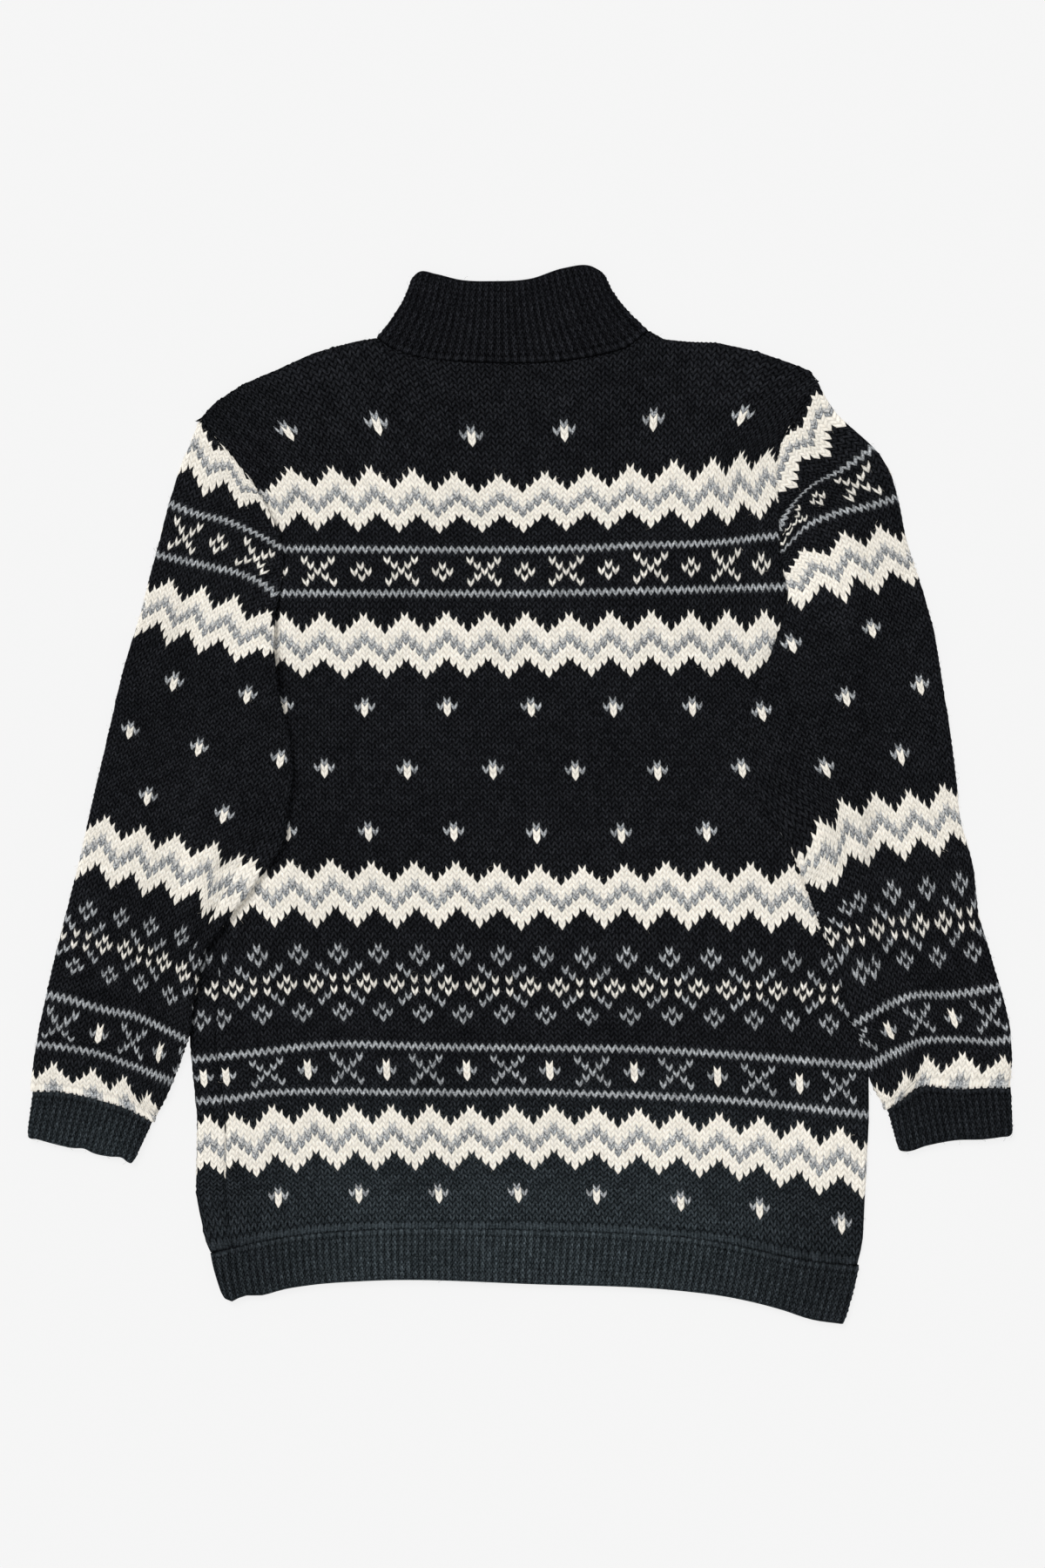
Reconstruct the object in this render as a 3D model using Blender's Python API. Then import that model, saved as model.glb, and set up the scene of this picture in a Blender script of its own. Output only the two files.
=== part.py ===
"""A fair isle pullover with a ribbed mock neck, laid flat with its back up.

Frame: +X to the right of the pullover as seen from above, +Y from the hem towards the
collar, +Z up from the surface it lies on. The origin is below the middle of its outline.
Tables are in millimetres and the meshes are in metres.

The front lies on the surface, the back lies on the front, and both sleeves are folded down
so that their inner parts lie on the sides of the back. Every piece is a knitted wall with
its own thickness. Sleeves, collar and cuffs are flattened tubes. The front is rolled round
the left side, so the left side seam shows on the back, and the right side seam is below.
"""
import math
from collections import namedtuple

import bmesh
import bpy
from mathutils import Vector

MM = 0.001

# Driving dimensions, in millimetres.
WALL = 3.0             # thickness of the stranded knit
LAYER_GAP = 0.8        # air between two layers that lie on each other
SEAM_GAP = 0.3         # air between two pieces that are sewn together
ROLLED_UNDER = 16.0    # how far the back is rolled under the front at the right side
RIB_RELIEF = 0.9       # height of a knit rib over the purl groove beside it
RIB_GROOVE = 0.5       # how far the groove lies below the plain knit's face
HEM_RIB_PITCH = 10.5   # one knit rib and one purl groove at the hem
CUFF_RIB_PITCH = 8.6   # the same at the cuffs
COLLAR_RIBS = 24       # ribs on the visible half of the collar
ARMHOLE_GAP = 0.25     # how far each piece stays back from the armhole seam, along X
SHOULDER_ROUND = 4.0   # width of the rounded edge along the shoulder line
SHOULDER_TOP = 4.9     # top of that edge, where the back and the front are sewn together
SHOULDER_MEETS = 3.5   # underside of the back there
SHOULDER_FOOT = 1.4    # underside of the front there
FOOT_BOW_REACH = 0.45  # share of the body's height over which the rib line's bow dies out
TIP_BOW_REACH = 0.4    # the same for the bow of the shoulders, from the top down
SLEEVE_RAMP = 14.0     # width over which a sleeve climbs from the surface onto the body
SLEEVE_CLEARANCE = 0.4  # air between a sleeve and the back it lies on
LEAST_CARRIED = 4.0    # least width of a sleeve's lifted part
SEAM_LIFT_SHARE = 0.25  # share of the lift that a sleeve has at its armhole seam
UNDULATION = 0.7       # height of the soft waves in the back

LEVEL_BACK = WALL + LAYER_GAP              # underside of the upper layer
LEVEL_TOP = 2.0 * WALL + LAYER_GAP         # face of the upper layer
FOLD_RADIUS = 0.5 * LEVEL_TOP              # outside radius of a fold
FOLD_ANGLES = (45.0, 0.0, -45.0)           # degrees, points round a fold
BODY_LIFT = LEVEL_TOP + SLEEVE_CLEARANCE   # height of a sleeve's underside on the body

# The body's rows from the rib up to the shoulder tips. The left and right points are the
# side edges up to the underarm, then the armhole seam. left_seam_x is the side seam, which
# lies on the visible face. tube says that the row is below the underarm.
BodyRow = namedtuple("BodyRow", "left_x left_y left_seam_x right_x right_y tube")
BODY_ROWS = [
    BodyRow(-253, -378, -236, 280, -388, True),
    BodyRow(-265, -325, -243, 285, -330, True),
    BodyRow(-267, -265, -243, 288, -268, True),
    BodyRow(-273, -205, -252, 288, -205, True),
    BodyRow(-272, -140, -247, 286, -140, True),
    BodyRow(-267, -63, -242, 281, -63, True),
    BodyRow(-262, 0, -242, 277, 0, True),
    BodyRow(-259, 38, -244, 274, 45, True),
    BodyRow(-199, 81, -199, 252, 87, False),
    BodyRow(-203, 121, -203, 219, 150, False),
    BodyRow(-202, 150, -202, 221, 167, False),
    BodyRow(-197, 171, -197, 216, 189, False),
    BodyRow(-195, 192, -195, 214, 211, False),
    BodyRow(-198, 215, -198, 213, 239, False),
    BodyRow(-209, 237, -209, 211, 265, False),
    BodyRow(-219, 255, -219, 214, 286, False),
    BodyRow(-233, 274, -233, 221, 304, False),
    BodyRow(-250, 293, -250, 236, 326, False),
    BodyRow(-265, 309, -265, 244, 342, False),
]

LEFT_SEAM_END = 8      # the row where the left armhole seam ends
RIGHT_SEAM_END = 9     # the row where the right one ends

# Edges across the body, from left to right.
Point = namedtuple("Point", "x y")
RIB_LINE = [
    Point(-253, -378), Point(-215, -368), Point(-178, -362), Point(-121, -358), Point(2, -358),
    Point(86, -361), Point(159, -367), Point(196, -375), Point(233, -383), Point(280, -388),
]
HEM_EDGE = [
    Point(-245, -417), Point(-198, -410), Point(-173, -405), Point(-125, -401), Point(16, -404),
    Point(129, -409), Point(175, -415), Point(216, -425), Point(240, -433), Point(267, -437),
]
SHOULDER_LEFT = [
    Point(-265, 309), Point(-253, 323), Point(-229, 339), Point(-203, 350), Point(-170, 365),
    Point(-137, 374), Point(-119, 377),
]
SHOULDER_RIGHT = [
    Point(106, 383), Point(119, 376), Point(139, 374), Point(164, 373), Point(195, 366),
    Point(224, 356), Point(239, 350), Point(244, 342),
]
NECK_BACK = [
    Point(-119, 377), Point(-106, 368), Point(-85, 361), Point(-41, 357), Point(2, 356),
    Point(38, 358), Point(67, 363), Point(88, 369), Point(106, 383),
]
NECK_FRONT = [
    Point(-119, 377), Point(-100, 350), Point(-60, 331), Point(-5, 324), Point(50, 332),
    Point(88, 353), Point(106, 383),
]
COLLAR_HEIGHTS = (0.0, 0.2, 0.45, 0.72, 1.0)   # rows of the collar, as shares of its height
COLLAR_FRONT_COLUMNS = 10                      # spans across its hidden half
COLLAR_LEFT = [Point(-119, 377), Point(-105, 391), Point(-98, 405), Point(-89, 428)]
COLLAR_RIGHT = [Point(106, 383), Point(88, 393), Point(80, 407), Point(69, 431)]
COLLAR_TOP_BACK = [
    Point(-89, 428), Point(-83, 432), Point(-70, 430), Point(-49, 425), Point(-23, 424),
    Point(8, 426), Point(36, 435), Point(57, 437), Point(69, 431),
]
COLLAR_TOP_FRONT = [
    Point(-89, 428), Point(-50, 402), Point(-8, 393), Point(35, 403), Point(69, 431),
]

# Columns across the body, as shares of its width. The neck runs from NECK_FIRST to NECK_LAST.
BODY_COLUMNS = (0.0, 0.11, 0.2, 0.287, 0.34, 0.42, 0.5, 0.58, 0.66, 0.729, 0.81, 0.9, 1.0)
NECK_FIRST = 3
NECK_LAST = 9

# A sleeve's rows from the shoulder tip to the cuff. The inner point is on the armhole seam
# down to the underarm, then on the fold that lies on the body. lift is the height of the
# sleeve's underside at its inner part. tube says that the row is below the armhole seam.
SleeveRow = namedtuple("SleeveRow", "outer_x outer_y inner_x inner_y lift tube")
SLEEVE_LEFT_ROWS = [
    SleeveRow(-266.5, 305.5, -263, 306.9, 0.0, False),
    SleeveRow(-270, 297, -250, 293, 0.0, False),
    SleeveRow(-274, 287, -233, 274, 0.0, False),
    SleeveRow(-279, 275, -219, 255, 0.0, False),
    SleeveRow(-284, 261, -209, 237, 0.0, False),
    SleeveRow(-289, 245, -198, 215, 0.0, False),
    SleeveRow(-294, 226, -195, 192, 0.0, False),
    SleeveRow(-299, 206, -197, 171, 0.5, False),
    SleeveRow(-305, 184, -202, 150, 2.0, False),
    SleeveRow(-313, 151, -203, 121, 4.5, False),
    SleeveRow(-326, 111, -199, 81, BODY_LIFT, True),
    SleeveRow(-333, 83, -191, 51, BODY_LIFT, True),
    SleeveRow(-339, 56, -187, 22, BODY_LIFT, True),
    SleeveRow(-353, -4, -194, -39, BODY_LIFT, True),
    SleeveRow(-363, -50, -228, -86, BODY_LIFT, True),
    SleeveRow(-375, -98, -261, -128, BODY_LIFT, True),
    SleeveRow(-386, -141, -270, -172, BODY_LIFT, True),
    SleeveRow(-391, -163, -272, -195, BODY_LIFT, True),
    SleeveRow(-397, -190, -281, -220, 3.6, True),
    SleeveRow(-402, -220, -291, -246, 0.0, True),
    SleeveRow(-405, -246, -302, -267, 0.0, True),
]
SLEEVE_RIGHT_ROWS = [
    SleeveRow(246.5, 338.5, 243, 340.1, 0.0, False),
    SleeveRow(254, 325, 236, 326, 0.0, False),
    SleeveRow(268, 308, 221, 304, 0.0, False),
    SleeveRow(282, 296, 214, 286, 0.0, False),
    SleeveRow(296, 283, 211, 265, 0.0, False),
    SleeveRow(307, 264, 213, 239, 0.0, False),
    SleeveRow(313, 240, 214, 211, 0.5, False),
    SleeveRow(318, 213, 216, 189, 2.0, False),
    SleeveRow(326, 187, 221, 167, 4.5, False),
    SleeveRow(332, 170, 219, 150, BODY_LIFT, True),
    SleeveRow(342, 135, 205, 112, BODY_LIFT, True),
    SleeveRow(349, 90, 188, 65, BODY_LIFT, True),
    SleeveRow(355, 53, 187, 30, BODY_LIFT, True),
    SleeveRow(360, 13, 200, -8, BODY_LIFT, True),
    SleeveRow(363, -20, 222, -41, BODY_LIFT, True),
    SleeveRow(374, -58, 235, -74, BODY_LIFT, True),
    SleeveRow(378, -98, 249, -112, BODY_LIFT, True),
    SleeveRow(387, -128, 262, -141, BODY_LIFT, True),
    SleeveRow(399, -168, 272, -182, BODY_LIFT, True),
    SleeveRow(405, -195, 283, -210, BODY_LIFT, True),
    SleeveRow(406, -220, 289, -236, 3.6, True),
    SleeveRow(404, -243, 301, -257, 0.0, True),
]
CuffEnd = namedtuple("CuffEnd", "outer_x outer_y inner_x inner_y")
CUFF_LEFT_END = CuffEnd(-406, -282, -320, -304)
CUFF_RIGHT_END = CuffEnd(406, -282, 313, -293)

# Yarn colours, roughness of brushed wool.
BLACK_WOOL = (0.010, 0.011, 0.014, 1.0)
CHARCOAL_WOOL = (0.020, 0.024, 0.028, 1.0)
WOOL_ROUGHNESS = 0.95


def mix(a, b, share):
    return a + (b - a) * share


def ease(share):
    """0 to 1 with flat ends."""
    share = min(max(share, 0.0), 1.0)
    return share * share * (3.0 - 2.0 * share)


def height_on(edge, x):
    """The y of an edge, given by points from left to right, at x."""
    x = min(max(x, edge[0].x), edge[-1].x)
    for here, there in zip(edge, edge[1:]):
        if x <= there.x:
            return mix(here.y, there.y, (x - here.x) / (there.x - here.x))
    return edge[-1].y


def point_along(edge, share):
    """A point on an edge, at a share of its number of spans."""
    place = share * (len(edge) - 1)
    first = min(int(place), len(edge) - 2)
    here, there = edge[first], edge[first + 1]
    return Point(mix(here.x, there.x, place - first), mix(here.y, there.y, place - first))


def wool(name, colour):
    material = bpy.data.materials.new(name)
    material.use_nodes = True
    shader = material.node_tree.nodes["Principled BSDF"]
    shader.inputs["Base Color"].default_value = colour
    shader.inputs["Roughness"].default_value = WOOL_ROUGHNESS
    shader.inputs["Metallic"].default_value = 0.0
    material.diffuse_color = colour
    return material


def wall(name, rows, present, closed, colour, collection):
    """A closed knitted wall.

    rows[j][i] is a pair of points: the wall's outer face and its inner face. present(j, i)
    says whether the cell that starts there is cloth, and closed joins each row's ends.
    """
    shape = bmesh.new()
    corners = {}
    count = len(rows[0])

    def corner(side, j, i):
        key = (side, j, i % count)
        if key not in corners:
            corners[key] = shape.verts.new(Vector(rows[j][i % count][side]) * MM)
        return corners[key]

    columns = count if closed else count - 1
    cells = {(j, i) for j in range(len(rows) - 1) for i in range(columns) if present(j, i)}
    for j, i in sorted(cells):
        ring = ((j, i), (j, i + 1), (j + 1, i + 1), (j + 1, i))
        shape.faces.new([corner(0, *place) for place in ring])
        shape.faces.new([corner(1, *place) for place in reversed(ring)])
        following = (i + 1) % count if closed else i + 1
        before = (i - 1) % count if closed else i - 1
        neighbours = ((j - 1, i), (j, following), (j + 1, i), (j, before))
        for side, neighbour in enumerate(neighbours):
            if neighbour not in cells:
                here, there = ring[side], ring[(side + 1) % 4]
                rim = (corner(0, *there), corner(0, *here), corner(1, *here), corner(1, *there))
                shape.faces.new(rim)
    bmesh.ops.recalc_face_normals(shape, faces=shape.faces)
    mesh = bpy.data.meshes.new(name)
    shape.to_mesh(mesh)
    shape.free()
    mesh.shade_smooth()
    mesh.set_sharp_from_angle(angle=math.radians(40.0))
    mesh.materials.append(wool(name, colour))
    piece = bpy.data.objects.new(name, mesh)
    collection.objects.link(piece)
    return piece


def fold_points(edge, upper, lower, base, angles):
    """Outer and inner points round a fold.

    edge is the fold's outermost point in plan, and upper and lower are where the flat
    layers above and below it end. base is the height of the fold's underside.
    """
    points = []
    for angle in angles:
        turn = math.radians(angle)
        start = upper if angle >= 0.0 else lower
        pair = []
        for radius in (FOLD_RADIUS, 0.5 * LAYER_GAP):
            share = 1.0 - radius * math.cos(turn) / FOLD_RADIUS
            height = base + FOLD_RADIUS + radius * math.sin(turn)
            pair.append((mix(edge[0], start[0], share), mix(edge[1], start[1], share), height))
        points.append(tuple(pair))
    return points


def level_pair(x, y, low, high):
    """The two faces of an upper layer: its face up is the outer one."""
    return ((x, y, high), (x, y, low))


# The body -------------------------------------------------------------------------------

def sheet_y(x, row_index, top_edge):
    """The y of the body's sheet at x in one of its rows, bowed by the rib line and the top."""
    row, foot, tip = BODY_ROWS[row_index], BODY_ROWS[0], BODY_ROWS[-1]
    share = (x - row.left_x) / (row.right_x - row.left_x)
    middle = 0.5 * (row.left_y + row.right_y)
    foot_middle = 0.5 * (foot.left_y + foot.right_y)
    tip_middle = 0.5 * (tip.left_y + tip.right_y)
    climb = (middle - foot_middle) / (tip_middle - foot_middle)
    foot_share = 1.0 - ease(climb / FOOT_BOW_REACH)
    tip_share = ease((climb - 1.0 + TIP_BOW_REACH) / TIP_BOW_REACH)
    foot_bow = height_on(RIB_LINE, mix(foot.left_x, foot.right_x, share))
    foot_bow -= mix(foot.left_y, foot.right_y, share)
    tip_bow = top_edge(mix(tip.left_x, tip.right_x, share)) - mix(tip.left_y, tip.right_y, share)
    return mix(row.left_y, row.right_y, share) + foot_share * foot_bow + tip_share * tip_bow


def top_back(x):
    if x <= NECK_BACK[0].x:
        return height_on(SHOULDER_LEFT, x)
    if x >= NECK_BACK[-1].x:
        return height_on(SHOULDER_RIGHT, x)
    return height_on(NECK_BACK, x)


def top_front(x):
    if x <= NECK_FRONT[0].x:
        return height_on(SHOULDER_LEFT, x)
    if x >= NECK_FRONT[-1].x:
        return height_on(SHOULDER_RIGHT, x)
    return height_on(NECK_FRONT, x)


def wave(x, y):
    """Height of the back's soft waves. They die out where the sleeves lie on it."""
    clear = ease((185.0 - abs(x)) / 45.0) * ease((y + 400.0) / 60.0) * ease((340.0 - y) / 40.0)
    long_wave = math.sin(x / 62.0 + 0.6) * math.cos(y / 95.0 - 0.4)
    cross_wave = math.sin((x + 1.4 * y) / 88.0)
    return UNDULATION * clear * (0.6 * long_wave + 0.4 * cross_wave)


def shoulder_row(row_points, next_points):
    """Points a rounded edge's width below the top row, column by column."""
    inset = []
    for (x, y), (below_x, below_y) in zip(row_points, next_points):
        reach = math.hypot(below_x - x, below_y - y)
        share = SHOULDER_ROUND / reach
        inset.append((mix(x, below_x, share), mix(y, below_y, share)))
    return inset


def is_shoulder(column):
    return column <= NECK_FIRST or column >= NECK_LAST


def plan_rows(top_edge, sides):
    """The sheet's columns in plan for each body row, with one more row inside the top."""
    rows = []
    for index, body_row in enumerate(BODY_ROWS):
        left, right = sides(body_row)
        columns = [mix(left, right, share) for share in BODY_COLUMNS]
        rows.append([(x, sheet_y(x, index, top_edge)) for x in columns])
    rows.insert(len(rows) - 1, shoulder_row(rows[-1], rows[-2]))
    return rows


def upper_sides(row):
    """The back's first and last column on the visible face in one row."""
    if row.tube:
        return row.left_seam_x + 0.5 * SEAM_GAP, row.right_x - FOLD_RADIUS
    return row.left_x + ARMHOLE_GAP, row.right_x - ARMHOLE_GAP


def lower_sides(row):
    """The front's first and last column on the surface in one row."""
    if row.tube:
        return row.left_x + FOLD_RADIUS, row.right_x - ROLLED_UNDER - SEAM_GAP
    return row.left_x + ARMHOLE_GAP, row.right_x - ARMHOLE_GAP


def sheet_edge(row_index, sides, top_edge):
    """One row of a panel as the points that its mesh has, from left to right."""
    left, right = sides(BODY_ROWS[row_index])
    columns = [mix(left, right, share) for share in BODY_COLUMNS]
    return [Point(x, sheet_y(x, row_index, top_edge)) for x in columns]


def row_kinds():
    """For each sheet row, its row in BODY_ROWS, counting the extra row inside the top."""
    last = len(BODY_ROWS) - 1
    return list(range(last)) + [last, last]


def back_panel(collection):
    plan = plan_rows(top_back, upper_sides)
    kinds = row_kinds()
    count = len(BODY_COLUMNS)
    rows = []
    for index, points in enumerate(plan):
        body_row = BODY_ROWS[kinds[index]]
        is_top = index == len(plan) - 1
        pairs = []
        for column, (x, y) in enumerate(points):
            lift = wave(x, y)
            low, high = LEVEL_BACK + lift, LEVEL_TOP + lift
            if is_top and is_shoulder(column):
                low, high = SHOULDER_MEETS, SHOULDER_TOP
            pairs.append(level_pair(x, y, low, high))
        right_y = points[-1][1]
        fold_x, under_x = body_row.right_x - FOLD_RADIUS, body_row.right_x - ROLLED_UNDER
        start = (fold_x, right_y)
        pairs += fold_points((body_row.right_x, right_y), start, start, 0.0, FOLD_ANGLES)
        for x in (fold_x, under_x):
            pairs.append(((x, right_y, 0.0), (x, right_y, WALL)))
        rows.append(pairs)

    def present(j, i):
        return i < count - 1 or (BODY_ROWS[kinds[j]].tube and BODY_ROWS[kinds[j + 1]].tube)

    return wall("back_panel", rows, present, False, BLACK_WOOL, collection)


def front_panel(collection):
    plan = plan_rows(top_front, lower_sides)
    kinds = row_kinds()
    rows = []
    for index, points in enumerate(plan):
        body_row = BODY_ROWS[kinds[index]]
        is_top = index == len(plan) - 1
        left_y = points[0][1]
        seam_x = body_row.left_seam_x - 0.5 * SEAM_GAP
        seam_y = sheet_y(seam_x, kinds[index], top_front)
        pairs = [level_pair(seam_x, seam_y, LEVEL_BACK, LEVEL_TOP),
                 level_pair(body_row.left_x + FOLD_RADIUS, left_y, LEVEL_BACK, LEVEL_TOP)]
        start = (body_row.left_x + FOLD_RADIUS, left_y)
        pairs += fold_points((body_row.left_x, left_y), start, start, 0.0, FOLD_ANGLES)
        for column, (x, y) in enumerate(points):
            low = SHOULDER_FOOT if is_top and is_shoulder(column) else 0.0
            pairs.append(((x, y, low), (x, y, WALL)))
        rows.append(pairs)
    rolled = 2 + len(FOLD_ANGLES)

    def present(j, i):
        return i >= rolled or (BODY_ROWS[kinds[j]].tube and BODY_ROWS[kinds[j + 1]].tube)

    return wall("front_panel", rows, present, False, BLACK_WOOL, collection)


# The hem rib ----------------------------------------------------------------------------

HEM_SIDES = (
    # The hem's corners, with the side seam's place on the visible face, from foot to top.
    BodyRow(-245, -417, -227, 267, -437, True),
    BodyRow(-249, -398, -232, 274, -412, True),
    BodyRow(-253, -378, -236, 280, -388, True),
)


def rib_height(number):
    """Face of a ribbed upper layer: ribs on odd points, grooves on even ones."""
    return LEVEL_TOP - RIB_GROOVE + (RIB_RELIEF if number % 2 else 0.0)


def rib_y(row_index, x, top_line):
    """The y of the rib in one of its rows. Its top row follows the panel above it."""
    row = HEM_SIDES[row_index]
    share = (x - row.left_x) / (row.right_x - row.left_x)
    foot_y = height_on(HEM_EDGE, mix(HEM_EDGE[0].x, HEM_EDGE[-1].x, share))
    top_y = height_on(top_line, mix(RIB_LINE[0].x, RIB_LINE[-1].x, share)) - SEAM_GAP
    return mix(foot_y, top_y, row_index / (len(HEM_SIDES) - 1.0))


def hem_rib_back(collection):
    top_line = sheet_edge(0, upper_sides, top_back)
    rows = []
    for index, side in enumerate(HEM_SIDES):
        left = side.left_seam_x + 0.5 * SEAM_GAP
        right = side.right_x - FOLD_RADIUS
        count = 2 * round((HEM_SIDES[-1].right_x - HEM_SIDES[-1].left_seam_x) / HEM_RIB_PITCH)
        pairs = []
        for number in range(count + 1):
            x = mix(left, right, number / count)
            pairs.append(level_pair(x, rib_y(index, x, top_line), LEVEL_BACK, rib_height(number)))
        right_y = rib_y(index, right, top_line)
        start = (right, right_y)
        pairs += fold_points((side.right_x, right_y), start, start, 0.0, FOLD_ANGLES)
        for x in (right, side.right_x - ROLLED_UNDER):
            pairs.append(((x, right_y, 0.0), (x, right_y, WALL)))
        rows.append(pairs)
    return wall("hem_rib_back", rows, lambda j, i: True, False, CHARCOAL_WOOL, collection)


def hem_rib_front(collection):
    lower_line = sheet_edge(0, lower_sides, top_front)
    seam_end = BODY_ROWS[0].left_seam_x - 0.5 * SEAM_GAP
    top_line = [lower_line[0], Point(seam_end, sheet_y(seam_end, 0, top_front))]
    rows = []
    for index, side in enumerate(HEM_SIDES):
        seam = side.left_seam_x - 0.5 * SEAM_GAP
        fold = side.left_x + FOLD_RADIUS
        right = side.right_x - ROLLED_UNDER - SEAM_GAP
        count = 2 * round((seam - fold) / HEM_RIB_PITCH)
        pairs = []
        for number in range(count + 1):
            x = mix(seam, fold, number / count)
            pairs.append(level_pair(x, rib_y(index, x, top_line), LEVEL_BACK, rib_height(number)))
        left_y = rib_y(index, fold, lower_line)
        start = (fold, left_y)
        pairs += fold_points((side.left_x, left_y), start, start, 0.0, FOLD_ANGLES)
        for share in BODY_COLUMNS:
            x = mix(fold, right, share)
            y = rib_y(index, x, lower_line)
            pairs.append(((x, y, 0.0), (x, y, WALL)))
        rows.append(pairs)
    return wall("hem_rib_front", rows, lambda j, i: True, False, CHARCOAL_WOOL, collection)


# The collar -----------------------------------------------------------------------------

def collar_point(foot_edge, top_edge, across, up):
    """A point of one half of the collar in plan, by its share across and its share up."""
    foot_x = mix(foot_edge[0].x, foot_edge[-1].x, across)
    foot = Point(foot_x, height_on(foot_edge, foot_x) + SEAM_GAP)
    top_x = mix(top_edge[0].x, top_edge[-1].x, across)
    top = Point(top_x, height_on(top_edge, top_x))
    left, right = point_along(COLLAR_LEFT, up), point_along(COLLAR_RIGHT, up)
    x = mix(foot.x, top.x, up)
    y = mix(foot.y, top.y, up)
    for share, side, foot_corner, top_corner in ((1.0 - across, left, foot_edge[0], top_edge[0]),
                                                 (across, right, foot_edge[-1], top_edge[-1])):
        x += share * (side.x - mix(foot_corner.x, top_corner.x, up))
        y += share * (side.y - mix(foot_corner.y, top_corner.y, up))
    return x, y


def collar(collection):
    last = len(BODY_ROWS) - 1
    neck_back = sheet_edge(last, upper_sides, top_back)[NECK_FIRST:NECK_LAST + 1]
    neck_front = sheet_edge(last, lower_sides, top_front)[NECK_FIRST:NECK_LAST + 1]
    back_count = 2 * COLLAR_RIBS
    rows = []
    for up in COLLAR_HEIGHTS:
        left, right = point_along(COLLAR_LEFT, up), point_along(COLLAR_RIGHT, up)
        inset = FOLD_RADIUS / (right.x - left.x)
        upper, lower = [], []
        for number in range(back_count + 1):
            across = mix(inset, 1.0 - inset, number / back_count)
            x, y = collar_point(neck_back, COLLAR_TOP_BACK, across, up)
            upper.append(level_pair(x, y, LEVEL_BACK, rib_height(number)))
        for number in range(COLLAR_FRONT_COLUMNS + 1):
            across = mix(1.0 - inset, inset, number / COLLAR_FRONT_COLUMNS)
            x, y = collar_point(neck_front, COLLAR_TOP_FRONT, across, up)
            lower.append(((x, y, 0.0), (x, y, WALL)))
        left_edge = collar_point(neck_back, COLLAR_TOP_BACK, 0.0, up)
        right_edge = collar_point(neck_back, COLLAR_TOP_BACK, 1.0, up)
        rows.append(upper + fold_points(right_edge, upper[-1][0], lower[0][0], 0.0, FOLD_ANGLES)
                    + lower + fold_points(left_edge, upper[0][0], lower[-1][0], 0.0, FOLD_ANGLES[::-1]))
    return wall("collar", rows, lambda j, i: True, True, BLACK_WOOL, collection)


# Sleeves and cuffs ----------------------------------------------------------------------

def between(before, here, there, after):
    """Halfway between here and there on a smooth curve through four values."""
    return 0.5 * (here + there) + 0.0625 * (here + there - before - after)


def smooth_rows(table):
    """The table's rows with one more between each two rows below the armhole seam."""
    rows = [table[0]]
    for number in range(1, len(table)):
        here, there = table[number - 1], table[number]
        if here.tube:
            before = table[number - 2]
            after = table[min(number + 1, len(table) - 1)]
            plan = zip(before[:4], here[:4], there[:4], after[:4])
            middle = [between(*values) for values in plan]
            rows.append(SleeveRow(*middle, 0.5 * (here.lift + there.lift), True))
        rows.append(there)
    return rows


def body_side(sign):
    """The side of the body under one sleeve, from the foot to the end of the armhole seam."""
    if sign < 0:
        return [Point(row.left_x, row.left_y) for row in BODY_ROWS[:LEFT_SEAM_END + 1]]
    return [Point(row.right_x, row.right_y) for row in BODY_ROWS[:RIGHT_SEAM_END + 1]]


def reach_on_body(row, side):
    """How far a sleeve's row lies on the body, from its inner point."""
    run_x, run_y = row.outer_x - row.inner_x, row.outer_y - row.inner_y
    width = math.hypot(run_x, run_y)
    farthest = 0.0
    for foot, head in zip(side, side[1:]):
        edge_x, edge_y = head.x - foot.x, head.y - foot.y
        cross = run_x * edge_y - run_y * edge_x
        from_x, from_y = foot.x - row.inner_x, foot.y - row.inner_y
        along_row = (from_x * edge_y - from_y * edge_x) / cross
        along_edge = (from_x * run_y - from_y * run_x) / cross
        if 0.0 <= along_row <= 1.0 and 0.0 <= along_edge <= 1.0:
            farthest = max(farthest, along_row * width)
    return farthest


def sleeve_stations(row, width, on_body):
    """Distances from the row's inner point, and the underside's height at each."""
    first = FOLD_RADIUS if row.tube else ARMHOLE_GAP
    carried = first + max(on_body, LEAST_CARRIED)
    last = width - FOLD_RADIUS
    edge_lift = row.lift if row.tube else SEAM_LIFT_SHARE * row.lift
    if last - carried < SLEEVE_RAMP:
        return [(mix(first, last, share / 8.0), 0.0) for share in range(9)]
    stations = [(first, edge_lift), (mix(first, carried, 0.5), row.lift), (carried, row.lift)]
    for past in (0.3, 0.65, 1.0):
        stations.append((carried + past * SLEEVE_RAMP, row.lift * (1.0 - ease(past))))
    ramp_end = stations[-1][0]
    return stations + [(mix(ramp_end, last, share), 0.0) for share in (0.33, 0.67, 1.0)]


def tube_ring(inner_x, inner_y, outer_x, outer_y, stations, face):
    """A flattened tube's section between two points in plan, as outer and inner points."""
    width = math.hypot(outer_x - inner_x, outer_y - inner_y)
    along_x, along_y = (outer_x - inner_x) / width, (outer_y - inner_y) / width
    upper, lower = [], []
    for number, (reach, base) in enumerate(stations):
        x, y = inner_x + along_x * reach, inner_y + along_y * reach
        upper.append(((x, y, base + face(number)), (x, y, base + LEVEL_BACK)))
        lower.append(((x, y, base), (x, y, base + WALL)))
    outer_fold = fold_points((outer_x, outer_y), upper[-1][0], lower[-1][0], stations[-1][1],
                             FOLD_ANGLES)
    inner_fold = fold_points((inner_x, inner_y), upper[0][0], lower[0][0], stations[0][1],
                             FOLD_ANGLES[::-1])
    return upper + outer_fold + lower[::-1] + inner_fold


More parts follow.
